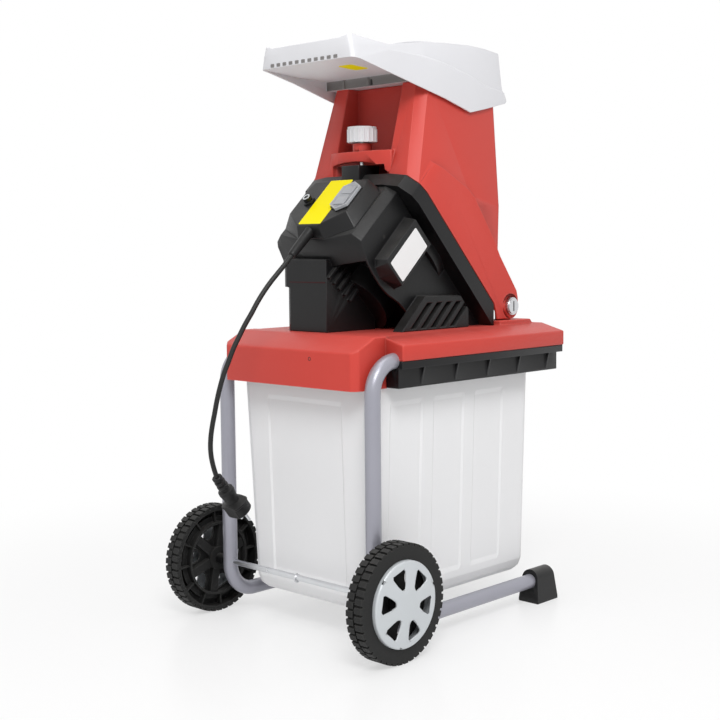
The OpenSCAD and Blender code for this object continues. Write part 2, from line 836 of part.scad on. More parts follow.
// Tall pad and slanted louvre on one side of the cover
module cover_side_trim() {
    x0 = cover_w / 2 - 2;
    foot = [[42, 91], [cover_l - 20, 91], [cover_l - 11, 80], [cover_l - 6, 61],
        [cover_l - 20, 22], [42, 27]];
    face = [[44, 87], [cover_l - 22, 87], [cover_l - 19, 84], [cover_l - 19, 60],
        [cover_l - 19, 32], [44, 31]];
    on_head() loft([[for (p = foot) [x0, p[1], p[0]]], [for (p = face) [pad_x, p[1], p[0]]]]);
    side_prism([[cutter_y - 64, 552], [cutter_y + 27, 550], [cutter_y + 48, 526],
        [cutter_y + 48, deck_top],
                [cutter_y - 123, deck_top]], x0, trim_x);
}

// Slanted slots of one louvre
module louvre_slots() {
    lean = 42;
    for (i = [0:4]) {
        y0 = cutter_y - 102 + i * 25;
        side_prism([[y0, deck_top + 4], [y0 + 13, deck_top + 4], [y0 + 13 + lean, 540],
            [y0 + lean, 540]],
                   cover_w / 2 + 4, trim_x + 20);
    }
}

// Slanted slats on the near side of the can
module can_slats() {
    difference() {
        for (i = [0:4]) on_head() translate([can_half - 1, 92 - i * 15, 152 - i * 2]) cube([8, 5, 38]);
        drum(case_wall);
    }
}

module motor_cover() {
    color(black) difference() {
        union() {
            difference() {
                cover_body(0);
                cover_body(case_wall);
            }
            both_sides() cover_side_trim();
            can_slats();
        }
        both_sides() louvre_slots();
        on_head() translate([0, 0, collar_h - over]) cylinder(r = chamber_r + case_wall + gap, h = 20);
    }
}

// Ring of the control box as u and x, at a given v
function control_ring(v, pts) = [for (p = pts) [p[1], v, p[0]]];

module control_box() {
    h = cover_w / 2;
    low = [[32, 28.5 - h], [46, 18 - h], [cover_l - 33, 17 - h], [cover_l - 8.5, -30],
        [cover_l - 8.5, 30],
           [cover_l - 33, h - 17], [46, h - 18], [32, h - 28.5]];
    high = [[34, 38 - h], [50, 33 - h], [cover_l - 49, 33 - h], [sleeve_u, -24], [sleeve_u, 24],
            [cover_l - 49, h - 33], [50, h - 33], [34, h - 38]];
    color(black) difference() {
        on_head() loft([control_ring(cover_top, low), control_ring(control_top, high)]);
        on_head() translate([switch_x - 17, control_top - 15, switch_u - 27]) cube([34, 30, 54]);
        on_head() translate([reset_x, control_top - 15, reset_u]) rotate([-90, 0, 0])
            cylinder(r = 5.5, h = 30);
        on_head() translate([0, sleeve_v, sleeve_u - sleeve_root]) cylinder(r = sleeve_r + gap, h = 60);
    }
}

// Block on the housing that takes the lock screw
module lock_socket() {
    back = lock_y - 30;
    front = lock_y + 21;
    corner_pt = head(0, collar_top);
    foot_z = corner_pt[1] - (corner_pt[0] - back) / tan(seam_tilt);
    color(black) difference() {
        side_prism([[back, foot_z], corner_pt, [front, seam_z(front)], [front, socket_top],
            [back, socket_top]],
                   -socket_half, socket_half);
        translate([0, lock_y, socket_top - 9]) cylinder(r = screw_d + gap, h = 20, $fn = 6);
        translate([0, lock_y, socket_top - 22]) cylinder(r = screw_d / 2 + 1, h = 30);
    }
}

module lock_nut() {
    color(zinc) translate([0, lock_y, socket_top - 9]) difference() {
        cylinder(r = screw_d, h = 8, $fn = 6);
        translate([0, 0, -over]) cylinder(r = screw_d / 2 + gap + 0.1, h = 20);
    }
}

module safety_switch() {
    color(black) on_head() translate([-10, cover_top - case_wall - 12, 60]) cube([20, 12 - gap, 7]);
}

module switch_frame() {
    h = switch_h;
    color(black) on_head() difference() {
        union() {
            translate([switch_x - 17 + gap, control_top - 15 + gap, switch_u - 27 + gap])
                cube([34 - 2 * gap, 15, 54 - 2 * gap]);
            translate([0, control_top, 0]) rotate([-90, 0, 0]) linear_extrude(h) polygon(
                [for (p = switch_outline(0)) [p[0], -p[1]]]);
        }
        for (s = [-1, 1]) translate([switch_x - 12.5, control_top - 9, switch_u + s * 12.5 - 10.5])
            cube([25, 30, 21]);
    }
}

// Six-sided outline of the switch as x and u
function switch_outline(t) = let (w = 20 - t, h = 34 - t, c = 11)
    [[switch_x - w, switch_u - h + c], [switch_x, switch_u - h], [switch_x + w, switch_u - h + c],
     [switch_x + w, switch_u + h - c], [switch_x, switch_u + h], [switch_x - w, switch_u + h - c]];

// Clear soft boot over both push buttons
module switch_boot() {
    base = control_top + switch_h;
    color([0.75, 0.77, 0.8, 0.6]) on_head() difference() {
        translate([0, base, 0]) rotate([-90, 0, 0]) linear_extrude(boot_h) polygon(
            [for (p = switch_outline(1)) [p[0], -p[1]]]);
        translate([0, base - over, 0]) rotate([-90, 0, 0]) linear_extrude(boot_h - 1) polygon(
            [for (p = switch_outline(2.4)) [p[0], -p[1]]]);
    }
}

module push_button(side, tint) {
    color(tint) on_head()
        translate([switch_x - 12.5 + gap, control_top - 9 + button_travel + gap,
            switch_u + side * 12.5 - 10.5 + gap])
        cube([25 - 2 * gap, 6.5 + switch_h, 21 - 2 * gap]);
}

module start_button() {
    push_button(-1, [0.1, 0.5, 0.2]);
}

module stop_button() {
    push_button(1, [0.75, 0.1, 0.1]);
}

module reset_collar() {
    color(black) on_head() translate([reset_x, control_top - 14, reset_u]) rotate([-90, 0, 0]) difference() {
        union() {
            cylinder(r = 5.5 - gap, h = 15);
            translate([0, 0, 14]) cylinder(r = 10.5, h = 4.5, $fn = 12);
            translate([0, 0, 18]) cylinder(r = 5.5, h = 4);
        }
        translate([0, 0, 5]) cylinder(r = 3.6, h = 30);
    }
}

module reset_button() {
    color(black) on_head() translate([reset_x, control_top - 14 + 5 + button_travel + gap, reset_u])
        rotate([-90, 0, 0]) cylinder(r = 3.6 - gap, h = 17);
}

// Cord, sleeve and plug

sleeve_tip = let (p = head(sleeve_u + sleeve_l, sleeve_v)) [0, p[0], p[1]];

module cord_sleeve() {
    color(black) on_head() translate([0, sleeve_v, sleeve_u]) union() {
        cylinder(r1 = sleeve_r, r2 = cord_d / 2 + 1, h = sleeve_l);
        translate([0, 0, gap - sleeve_root]) cylinder(r = sleeve_r, h = sleeve_root);
        for (i = [0:3]) translate([0, 0, sleeve_l - 8 - i * 9])
            cylinder(r = cord_d / 2 + 1.6 + 0.4 * i, h = 4);
    }
}

function unit(p) = p / norm(p);

// Points of a tube's ring, square to the route there
function tube_ring(route, i, r, sides) =
    let (ahead = route[min(i + 1, len(route) - 1)], behind = route[max(i - 1, 0)],
         t = i == 0 ? [0, -sin(seam_tilt), -cos(seam_tilt)]
           : i == len(route) - 1 ? [0, sin(plug_tilt), -cos(plug_tilt)] : unit(ahead - behind),
         n = unit(cross([1, 0, 0], t)), b = cross(t, n))
    [for (k = [0:sides - 1]) route[i] + r * (cos(360 * k / sides) * n + sin(360 * k / sides) * b)];

module cord() {
    route = concat([sleeve_tip], cord_route, [plug_at]);
    color(black) loft([for (i = [0:len(route) - 1]) tube_ring(route, i, cord_d / 2, 10)]);
}

module on_plug() {
    translate(plug_at) rotate([180 + plug_tilt, 0, 0]) children();
}

// Moulded plug: ribbed bend relief, grip, waist, flange and a block with two flats
module plug_body() {
    r = cord_d / 2;
    color(black) on_plug() intersection() {
        rotate_extrude() polygon([
            [0, 0], [r + 3.5, 0], [r + 4.5, 1], [r + 4.5, 5], [r + 2.5, 6], [r + 2.5, 8.5],
            [r + 5, 9.5], [r + 5, 13.5], [r + 3, 14.5], [r + 3, 17], [r + 5.5, 18], [r + 5.5, 22],
            [r + 3.5, 23], [r + 4, 27], [r + 9, 29], [r + 9.5, 34], [r + 7.5, 46], [r + 8, 54],
            [plug_r + 2.5, 58], [plug_r + 2.5, 61], [plug_r + 0.5, 62.5], [plug_r + 0.5, plug_l - 2],
            [plug_r - 1.5, plug_l], [0, plug_l]]);
        translate([-2 * plug_r, -plug_flat, -over]) cube([4 * plug_r, 2 * plug_flat, plug_l + 2 * over]);
    }
}

module plug_pins() {
    color(zinc) on_plug() for (s = [-1, 1]) translate([s * 9.5, 0, plug_l]) {
        cylinder(r = 2.4, h = 17);
        translate([0, 0, 17]) sphere(r = 2.4);
    }
}

// Motor

// Perforated barrel that carries the stator and the rear bearing
module motor_frame() {
    back = frame_u + frame_l;
    color([0.6, 0.61, 0.63]) on_head() difference() {
        union() {
            difference() {
                translate([0, 0, frame_u]) cylinder(r = frame_r, h = frame_l);
                translate([0, 0, frame_u - over]) cylinder(r = frame_r - frame_wall, h = frame_l - 3);
                for (a = [45:90:315]) rotate([0, 0, a])
                    translate([0, -14, rear_bearing_u - 14]) cube([80, 28, 13]);
                for (a = [45:90:315]) rotate([0, 0, a])
                    translate([0, -16, frame_u + 8]) cube([80, 32, 16]);
            }
            translate([0, 0, rear_bearing_u - 1]) cylinder(r = bearing_r + 4, h = back - rear_bearing_u + 1);
        }
        translate([0, 0, rear_bearing_u - 2]) cylinder(r = bearing_r + run, h = bearing_h + 2);
        translate([0, 0, rear_bearing_u]) cylinder(r = bearing_r - 3, h = 60);
        for (a = [0:90:270]) rotate([0, 0, a])
            translate([bearing_r + 9, -9, back - 8]) cube([14, 18, 20]);
    }
}

module motor_stator() {
    color([0.45, 0.46, 0.48]) on_head() translate([0, 0, stator_u]) difference() {
        cylinder(r = stator_r, h = stator_l);
        translate([0, 0, -over]) cylinder(r = rotor_r + air_gap, h = stator_l + 2 * over);
        for (a = [0:180:180]) rotate([0, 0, a])
            translate([-9, rotor_r - 2, -over]) cube([18, 14, stator_l + 2 * over]);
    }
}

module ball_bearing(u) {
    color(zinc) on_head() translate([0, 0, u]) difference() {
        cylinder(r = bearing_r, h = bearing_h);
        translate([0, 0, -over]) cylinder(r = shaft_d / 2 + run, h = bearing_h + 2 * over);
    }
}

module front_bearing() {
    ball_bearing(bearing_u);
}

module rear_bearing() {
    ball_bearing(rear_bearing_u);
}

module brush_holders() {
    color([0.75, 0.6, 0.3]) on_head() both_sides() difference() {
        translate([commutator_r + 3, -5, brush_u]) cube([stator_r - commutator_r - 3.4, 10, 13]);
        translate([commutator_r, -3.5, brush_u + 2]) cube([26, 7, 9]);
    }
}

module carbon_brushes() {
    color([0.2, 0.2, 0.2]) on_head() both_sides()
        translate([commutator_r + gap, -3.5 + gap, brush_u + 2 + gap])
        cube([20, 7 - 2 * gap, 9 - 2 * gap]);
}

module motor_shaft() {
    color(zinc) on_head() translate([0, 0, disc_u + disc_h])
        cylinder(r = shaft_d / 2, h = rear_bearing_u + bearing_h - disc_u - disc_h);
}

// Slotted armature stack
module rotor_core() {
    slots = 12;
    color([0.6, 0.4, 0.25]) on_head() translate([0, 0, stator_u]) difference() {
        union() {
            cylinder(r = rotor_r, h = stator_l);
            translate([0, 0, -5]) cylinder(r = rotor_r - 6, h = stator_l + 10);
        }
        translate([0, 0, -10]) cylinder(r = shaft_d / 2 + run, h = stator_l + 20);
        for (i = [0:slots - 1]) rotate([0, 0, 360 / slots * i])
            translate([rotor_r - 5, -1.2, -over]) cube([10, 2.4, stator_l + 2 * over]);
    }
}

module commutator() {
    color([0.72, 0.45, 0.2]) on_head() translate([0, 0, stator_u + stator_l + 5.2]) difference() {
        cylinder(r = commutator_r, h = 16);
        translate([0, 0, -over]) cylinder(r = shaft_d / 2 + run, h = 20);
    }
}

module cooling_fan() {
    color(black) on_head() translate([0, 0, fan_u]) difference() {
        union() {
            cylinder(r = fan_r, h = 2);
            cylinder(r = shaft_d / 2 + 5, h = 9);
            for (a = [0:36:324]) rotate([0, 0, a]) translate([shaft_d / 2 + 3, -1, 0])
                cube([fan_r - shaft_d / 2 - 5, 2, 9]);
        }
        translate([0, 0, -over]) cylinder(r = shaft_d / 2 + run, h = 20);
    }
}

// Knife disc with two knife slots and ejector vanes on its far side
module blade_disc() {
    r = disc_d / 2;
    color([0.55, 0.56, 0.58]) on_head() difference() {
        union() {
            translate([0, 0, disc_u]) cylinder(r = r, h = disc_h);
            translate([0, 0, disc_u + disc_h - over]) difference() {
                cylinder(r = shaft_d / 2 + 8, h = 10);
                cylinder(r = shaft_d / 2 + run, h = 30);
            }
            for (a = [45:90:315]) rotate([0, 0, a])
                translate([r - 52, -2.5, disc_u + disc_h - over]) cube([48, 5, vane_h]);
        }
        translate([0, 0, disc_u - over]) cylinder(r = 4.5, h = disc_h + over);
        for (a = [0, 180]) rotate([0, 0, a]) {
            translate([r - 70, 13, disc_u - over]) cube([58, 11, 60]);
            for (d = [24, 48]) translate([r - d, -4, disc_u - over]) cylinder(r = 3.2, h = 40);
        }
    }
}

// Two ground knives on the disc's face
module blades() {
    r = disc_d / 2;
    color([0.82, 0.83, 0.85]) on_head() for (a = [0, 180]) rotate([0, 0, a]) difference() {
        translate([r - 66, 0, disc_u]) rotate([90, 0, 90]) linear_extrude(60)
            polygon([[-16, 0], [12, 0], [18, -3.2], [14, -4], [-16, -4]]);
        for (d = [24, 48]) translate([r - d, -4, disc_u - 20]) cylinder(r = 3.2, h = 40);
    }
}

module blade_screws() {
    r = disc_d / 2;
    color([0.3, 0.3, 0.32]) on_head() for (a = [0, 180], d = [24, 48]) rotate([0, 0, a])
        translate([r - d, -4, 0]) {
            translate([0, 0, disc_u - 6.5]) cylinder(r = 5.5, h = 2.5);
            translate([0, 0, disc_u - 5]) cylinder(r = 3, h = 5 + disc_h - 0.5);
        }
}

module disc_bolt() {
    color(zinc) on_head() {
        translate([0, 0, disc_u - 6]) cylinder(r = 8.5, h = 6, $fn = 6);
        translate([0, 0, disc_u - 1]) cylinder(r = 4.4, h = disc_h + 1);
    }
}

// Hopper and hood

// One level of the hopper duct, with the wall taken off
function duct_ring(z, t) =
    let (w = duct_half(z) - t, a = hopper_rear(z) + t, b = duct_front + front_lean * (z - duct_low) - t,
         c = corner - t / 2, f = 2)
    [[-w + c, a, z], [w - c, a, z], [w, a + c, z], [w, b - f, z], [w - f, b, z], [-w + f, b, z],
     [-w, b - f, z], [-w, a + c, z]];

module duct(t) {
    extra = t > 0 ? 1 : 0;
    loft([duct_ring(duct_low - 40 * extra, t), duct_ring(shoulder_z, t),
        duct_ring(hopper_top + over * extra, t)]);
}

// Side outline of the hopper's cheeks as y and z
function cheek_outline() = let (z0 = seam_z(hopper_rear(749)))
    [[hopper_rear(749), z0], [hopper_rear(790), 790], [cutter_y + 35, 730], [cutter_y + 46, 721],
     [duct_front - 14, 642], [duct_front + 1, 616], [hinge_y + 19, hinge_z + 27],
      [hinge_y + ear_r, hinge_z + 15],
     [hinge_y + ear_r, hinge_z + 2], [hinge_y + ear_r * 0.75, hinge_z - ear_r * 0.65],
     [hinge_y, hinge_z - ear_r], [hinge_y - 16, hinge_z - 22], [hinge_y - 37, hinge_z - 22],
     [collar_front + 1, hinge_z + 6.5]];

// Space inside the cheeks
function cheek_hollow(t) =
    [[hopper_rear(749) + 8, 735], [hopper_rear(790) + t + 1, 790 - t],
     [cutter_y + 35 - 0.4 * t, 730 - t],
     [cutter_y + 46 - 0.7 * t, 721 - 0.8 * t], [duct_front - 14 - 0.9 * t, 642 - 0.5 * t],
     [duct_front + 1 - 0.9 * t, 616 - 0.6 * t], [hinge_y + 19 - t, hinge_z + 27 - 0.6 * t],
     [hinge_y + 20 - t, hinge_z + 21], [hinge_y + 40, hinge_z + 21], [hinge_y + 40, 480],
      [hinge_y - 80, 480]];

module cheeks() {
    intersection() {
        side_prism(cheek_outline(), -cheek_w / 2, cheek_w / 2);
        on_head() translate([0, 0, -300]) linear_extrude(600)
            polygon(seam_outline(cheek_w / 2, collar_top));
    }
}

// The bay in the hopper's rear for the knob above and the lock socket below
module bay(half, deep, low, high) {
    side_prism([[hopper_rear(low) - 40, low], [hopper_rear(high) - 40, high],
                [rear_foot_y + deep, high], [rear_foot_y + deep, low]], -half, half);
}

module hopper() {
    t = hopper_wall;
    deep = pocket_deep;
    shelf_y = hopper_rear(shelf_z);
    color(red) difference() {
        union() {
            difference() {
                union() {
                    duct(0);
                    cheeks();
                }
                duct(t);
                intersection() {
                    side_prism(cheek_hollow(t), -cheek_w / 2 + t, cheek_w / 2 - t);
                    on_head() translate([0, 0, -300]) linear_extrude(600)
                        polygon(seam_outline(cheek_w / 2 - t, collar_top - t));
                }
            }
            intersection() {
                union() {
                    duct(0);
                    cheeks();
                }
                bay(pocket_half + t, deep + t, duct_low, hopper_top);
            }
            translate([0, 0, shelf_z - 50]) linear_extrude(50) polygon(
                [[-band_half, shelf_y + 26], [-band_half, shelf_y - 8], [-45, shelf_y - 16],
                 [-20, shelf_y - 20],
                 [20, shelf_y - 20], [45, shelf_y - 16], [band_half, shelf_y - 8],
                  [band_half, shelf_y + 26]]);
            translate([0, lock_y, shelf_z - over]) cylinder(r = boss_r, h = boss_h + over);
            both_sides() translate([0, hinge_y, hinge_z]) bar_x(ear_r, ear_in, cheek_w / 2);
        }
        bay(pocket_half, deep, shelf_z + boss_h, hopper_top + over);
        difference() {
            bay(pocket_half, deep, shelf_z, shelf_z + boss_h + over);
            translate([0, lock_y, shelf_z - over]) cylinder(r = boss_r, h = boss_h + over);
        }
        bay(pocket_half - 4, deep, duct_low, shelf_z - 23);
        cross_prism([[-band_half + 7, duct_low], [-band_half + 7, shelf_z - 22],
            [-44, shelf_z - 19], [0, shelf_z - 17],
                     [40, shelf_z - 21], [band_half - 5, shelf_z - 38], [band_half - 5, duct_low]],
                    shelf_y - 40, shelf_y - 5);
        translate([0, lock_y, shelf_z - 40]) cylinder(r = screw_d / 2 + 1, h = 80);
        translate([0, lock_y, knob_z - lock_travel - 1]) cylinder(r = screw_d / 2 + 6.5, h = 40);
        both_sides() translate([0, hinge_y, hinge_z]) bar_x(hinge_d / 2 + run, 0, deck_w);
        difference() {
            on_head() translate([-200, -200, -seam_gap]) cube([400, 500, 300]);
            translate([-300, collar_front + 0.9, 300]) cube([600, 400, 500]);
        }
    }
}

// Half-width of the hood beside the duct
hood_half = duct_top_w / 2 + 9.5;
// Plan of the hood as x, y for its right half, from the rear middle to the front middle
hood_plan = [[40, 29], [84, 29.5], [hood_half - 18, 31], [hood_half - 13, 35.5], [hood_half - 11, 45],
             [hood_half - 7, 110], [hood_half - 2, 190], [hood_half, 240],
              [hood_half + 1.5, 306], [hood_half, 350], [hood_half - 6, 396],
             [hood_half - 24, 416], [50, 428]];
// Heights of the lower edge, of the crease and of the upper edge at each of those points
hood_low = [for (h = [22, 22, 22, 21.5, 20, 5, -15, -27, -46, -37, -23, -16, -14]) hopper_top + h];
hood_crease = [for (h = [40, 40, 40, 40, 40, 40, 36, 29, 14, 1, -5, -1, 0]) hopper_top + h];
hood_high = [for (h = [-5, -5, -2, 0, -2, -10, 1, 5, 7, 6, 3, 2, 2]) lip_top + h];
// How far the wall above the crease is set back at each of those points
hood_step = [0, 0, 0, 0, 0, 0.6, 1.6, 2, 2, 2, 2, 2, 2];

// A ring of the hood at given heights, drawn in, leaning out at the front, flaring at the rear, set back
function hood_ring(heights, depth, lean, flare = 0, set = 0) =
    let (half = [for (i = [0:len(hood_plan) - 1])
            let (p = hood_plan[i], t = depth + set * hood_step[i], front = max(0, p[1] - 350) / 78,
                 q = p + [flare * max(0, 110 - p[1]) / 80, lean * front], n = unit([p[0], p[1] - 230]))
            [q[0] - t * (abs(n[0]) > 0.35 ? sign(n[0]) : 2 * n[0]), q[1] - t * n[1], heights[i]]])
    concat(half, [for (i = [len(half) - 1:-1:0]) [-half[i][0], half[i][1], half[i][2]]]);

// Crowned roof sheet over the front of the hood, raised by dz
function roof_sheet(dz, inset) = [for (k = [0:6])
    let (y = 250 + k * (425 - inset - 250) / 6,
         half = hood_half - 4 - inset
                + lookup(y, [[250, 0], [306, 1], [350, -0.5], [396, -7], [416, -26], [425, -55]]),
         edge = lip_top - 2 + lookup(y, [[250, 5], [306, 7], [350, 6], [396, 3], [425, 2]]),
         rise = (roof_top - edge) * (1 - 0.45 * pow(k / 6, 3)))
    [for (j = [-5:5]) let (s = j / 5) [half * s, y, edge + rise * (1 - s * s) + dz]]];

module roof() {
    top = roof_sheet(0, 0);
    low = roof_sheet(-hood_wall, 0);
    loft([for (k = [6:-1:0]) concat([for (j = [0:10]) low[k][j]], [for (j = [10:-1:0]) top[k][j]])]);
}

// Scoop with a feed tray at its rear, side skirts and a roof over its front
module feed_hood() {
    t = hood_wall;
    seat = hopper_top;
    floor_y = 218 + hopper_wall;
    above_crease = [for (z = hood_crease) z + 2];
    color(pale) union() {
        loop_loft([
            hood_ring(hood_low, 0, 26, 4), hood_ring(hood_crease, 0, 18, 0),
                hood_ring(above_crease, 0, 17, 0, 1),
            hood_ring(hood_high, 0.5, 0, -5, 1), hood_ring(hood_high, 0.5 + t, 0, -5, 1),
            hood_ring(above_crease, t, 17, 0, 1), hood_ring(hood_crease, t, 18, 0),
                hood_ring(hood_low, t, 26, 4)]);
        roof();
        intersection() {
            side_prism([[31, seat + 22.5], [155, seat + 13.5], [188, seat], [floor_y, seat],
                [floor_y, seat + 3],
                        [189, seat + 3], [156, seat + 16.5],
                         [31, seat + 25.5]], -hood_half - 4, hood_half + 4);
            translate([0, 0, seat - 100]) linear_extrude(200)
                polygon([for (p = hood_ring(hood_low, t / 2, 0)) [p[0], p[1]]]);
        }
        difference() {
            translate([0, 0, seat]) linear_extrude(3)
                polygon([for (p = hood_ring(hood_low, t / 2, 0)) [p[0], p[1]]]);
            translate([0, 0, seat - over]) linear_extrude(6) polygon(
                [for (p = duct_ring(hopper_top, hopper_wall)) [p[0], p[1] < 260 ? 150 : p[1]]]);
            translate([-150, 0, seat - over]) cube([300, 188, 6]);
        }
    }
}

// Lock

module lock_washer() {
    color(zinc) translate([0, lock_y, knob_z]) difference() {
        cylinder(r = screw_d / 2 + 5, h = 1.5);
        translate([0, 0, -over]) cylinder(r = screw_d / 2 + run, h = 6);
    }
}

// Fluted cap that drops over the boss as it is screwed down
module lock_knob() {
    flutes = 18;
    inner = boss_r + 2;
    color(pale) translate([0, lock_y, knob_z]) difference() {
        union() {
            cylinder(r = knob_d / 2 - 1.2, h = knob_h);
            for (i = [0:flutes - 1]) rotate([0, 0, 360 / flutes * i])
                translate([knob_d / 2 - 2.4, 0, 1]) cylinder(r = 2.4, h = knob_h - 5);
        }
        difference() {
            translate([0, 0, -over]) cylinder(r = inner, h = lock_travel + 3 + over);
            translate([0, 0, 1.5 + run]) cylinder(r = screw_d / 2 + 5, h = 40);
        }
        translate([0, 0, -over]) cylinder(r = screw_d / 2 + 5 + gap, h = over + 1.5 + run);
        translate([-knob_d, -2, knob_h - 3]) cube([2 * knob_d, 4, 6]);
        translate([0, 0, -over]) cylinder(r = screw_d / 2 + run, h = knob_h - 6);
    }
}

module lock_screw() {
    color(zinc) translate([0, lock_y, 0]) {
        translate([0, 0, screw_tip]) cylinder(r = screw_d / 2, h = knob_z + knob_h - 8 - screw_tip);
    }
}

placed() left_frame_tube();
placed() right_frame_tube();
placed() axle();
placed() axle_spacers();
placed() axle_nuts();
placed() left_wheel();
placed() left_hub_cap();
placed() right_wheel();
placed() right_hub_cap();
placed() left_foot();
placed() right_foot();
placed() deck_cover();
placed() left_rail();
placed() right_rail();
placed() hinge_bolts();
placed() collection_box();
placed() cutter_housing();
placed() motor_cover();
placed() control_box();
placed() lock_socket();
placed() lock_nut();
placed() safety_switch();
placed() switch_frame();
placed() switch_boot();
placed() start_button();
placed() stop_button();
placed() reset_collar();
placed() reset_button();
placed() cord_sleeve();
placed() cord();
placed() plug_body();
placed() plug_pins();
placed() motor_frame();
placed() motor_stator();
placed() front_bearing();
placed() rear_bearing();
placed() brush_holders();
placed() carbon_brushes();
placed() motor_shaft();
placed() rotor_core();
placed() commutator();
placed() cooling_fan();
placed() blade_disc();
placed() blades();
placed() blade_screws();
placed() disc_bolt();
placed() hopper();
placed() feed_hood();
placed() lock_washer();
placed() lock_knob();
placed() lock_screw();
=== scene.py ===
# %% [markdown]
# # A garden shredder, dressed in Blender
# The CAD model fixes every size and joint. This lesson gives each solid its finish, rounds the
# moulded edges, and adds the small pieces that CAD leaves out. All sizes are in metres.

# %% Load the fixed frame
import math

import bmesh
import bpy
from mathutils import Matrix, Vector
from mathutils.bvhtree import BVHTree


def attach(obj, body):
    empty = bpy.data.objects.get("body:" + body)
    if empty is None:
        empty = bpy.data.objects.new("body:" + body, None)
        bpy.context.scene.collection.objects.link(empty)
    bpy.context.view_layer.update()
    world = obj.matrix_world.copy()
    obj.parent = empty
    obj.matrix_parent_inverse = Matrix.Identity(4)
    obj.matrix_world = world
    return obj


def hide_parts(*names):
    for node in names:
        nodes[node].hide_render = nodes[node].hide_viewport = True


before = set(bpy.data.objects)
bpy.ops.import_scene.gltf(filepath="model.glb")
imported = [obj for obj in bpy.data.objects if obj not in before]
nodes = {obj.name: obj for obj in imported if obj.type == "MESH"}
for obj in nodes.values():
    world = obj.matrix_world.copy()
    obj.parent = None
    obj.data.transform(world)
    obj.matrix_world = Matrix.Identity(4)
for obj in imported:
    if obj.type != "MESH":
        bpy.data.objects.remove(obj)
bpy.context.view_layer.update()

# %% [markdown]
# ## Two frames of reference
# The drawing measures from the wheel axle, and the shared frame starts under the middle of the
# machine. The motor head has a slanted frame of its own: v runs up the joint with the hopper and
# u runs down the motor shaft. Two small functions turn such measures into points.

# %% Points from drawing measures
AXLE_Y = -0.19075
HEAD_TILT = math.radians(47)
HEAD_Y, HEAD_Z = 250, 644


def at(x, y, z):
    """A point given in millimetres from the axle."""
    return Vector((x / 1000, y / 1000 + AXLE_Y, z / 1000))


def on_head(x, u, v):
    """A point given in millimetres in the motor head's slanted frame."""
    s, c = math.sin(HEAD_TILT), math.cos(HEAD_TILT)
    return at(x, HEAD_Y - s * u - c * v, HEAD_Z - c * u + s * v)


HEAD_U = Vector((0, -math.sin(HEAD_TILT), -math.cos(HEAD_TILT)))
HEAD_V = Vector((0, -math.cos(HEAD_TILT), math.sin(HEAD_TILT)))
print("cutter centre", [round(c, 4) for c in on_head(0, 0, 0)])

# %% [markdown]
# ## The camera
# The photograph was taken from the switch side, a little above the box, with a lens about as
# long as a portrait lens. The place and the turn come from a fit to marks on the frame, so the
# camera is built from its three directions instead of being aimed by eye.

# %% Camera
YAW, PITCH, ROLL = math.radians(43.96), math.radians(5.144), math.radians(-0.544)
FOCAL_PIXELS, IMAGE_PIXELS = 1272.03, 720
CAMERA_PLACE = (1.49733, -1.59268, 0.636)

level = Vector((math.cos(YAW), math.sin(YAW), 0))
forward = Vector((-math.sin(YAW) * math.cos(PITCH), math.cos(YAW) * math.cos(PITCH),
                  -math.sin(PITCH)))
upright = level.cross(forward)
right = math.cos(ROLL) * level + math.sin(ROLL) * upright
up = -math.sin(ROLL) * level + math.cos(ROLL) * upright

lens = bpy.data.cameras.new("photo_camera")
lens.sensor_width = 36
lens.lens = FOCAL_PIXELS / IMAGE_PIXELS * lens.sensor_width
camera = bpy.data.objects.new("photo_camera", lens)
turn = Matrix((right, up, -forward)).transposed().to_4x4()
camera.matrix_world = Matrix.Translation(CAMERA_PLACE) @ turn
bpy.context.scene.collection.objects.link(camera)
bpy.context.scene.camera = camera
print("lens", round(lens.lens, 2))

# %% [markdown]
# ## A mesh helper for finished pieces
# Every new piece ends the same way: its bmesh becomes a mesh object at the origin, sharp edges
# are marked by angle so that curved faces shade smoothly, and the piece is tied to a CAD body.

# %% Make a piece
def make_piece(name, bm, body, finish, angle=32, stands_for=()):
    mesh = bpy.data.meshes.new(name)
    bm.to_mesh(mesh)
    bm.free()
    for polygon in mesh.polygons:
        polygon.use_smooth = True
    mesh.set_sharp_from_angle(angle=math.radians(angle))
    mesh.materials.append(finish)
    piece = bpy.data.objects.new(name, mesh)
    bpy.context.scene.collection.objects.link(piece)
    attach(piece, body)
    if stands_for:
        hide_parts(*stands_for)
    return piece


# %% [markdown]
# ## Shared surface effects
# Moulded plastic is never one flat tone. Four node groups make the effects that most finishes
# share: the fine grain of a spark-eroded mould with a slow drift in tone, the paler rub along
# corners, dust that settles on faces that look up, and painted shade that darkens the colour in
# hollows where less light reaches. Each group puts out only values, and the shader itself stays
# in each material.

# %% Node group helpers
def new_group(name, inputs, outputs):
    group = bpy.data.node_groups.new(name, "ShaderNodeTree")
    for label, default in inputs:
        socket = group.interface.new_socket(label, in_out="INPUT", socket_type="NodeSocketFloat")
        socket.default_value = default
    for label in outputs:
        group.interface.new_socket(label, in_out="OUTPUT", socket_type="NodeSocketFloat")
    return group, group.nodes.new("NodeGroupInput"), group.nodes.new("NodeGroupOutput")


def math_node(tree, operation, a, b=None, clamp=False):
    node = tree.nodes.new("ShaderNodeMath")
    node.operation = operation
    node.use_clamp = clamp
    for index, value in enumerate((a, b)):
        if value is None:
            continue
        if isinstance(value, (int, float)):
            node.inputs[index].default_value = value
        else:
            tree.links.new(value, node.inputs[index])
    return node.outputs[0]


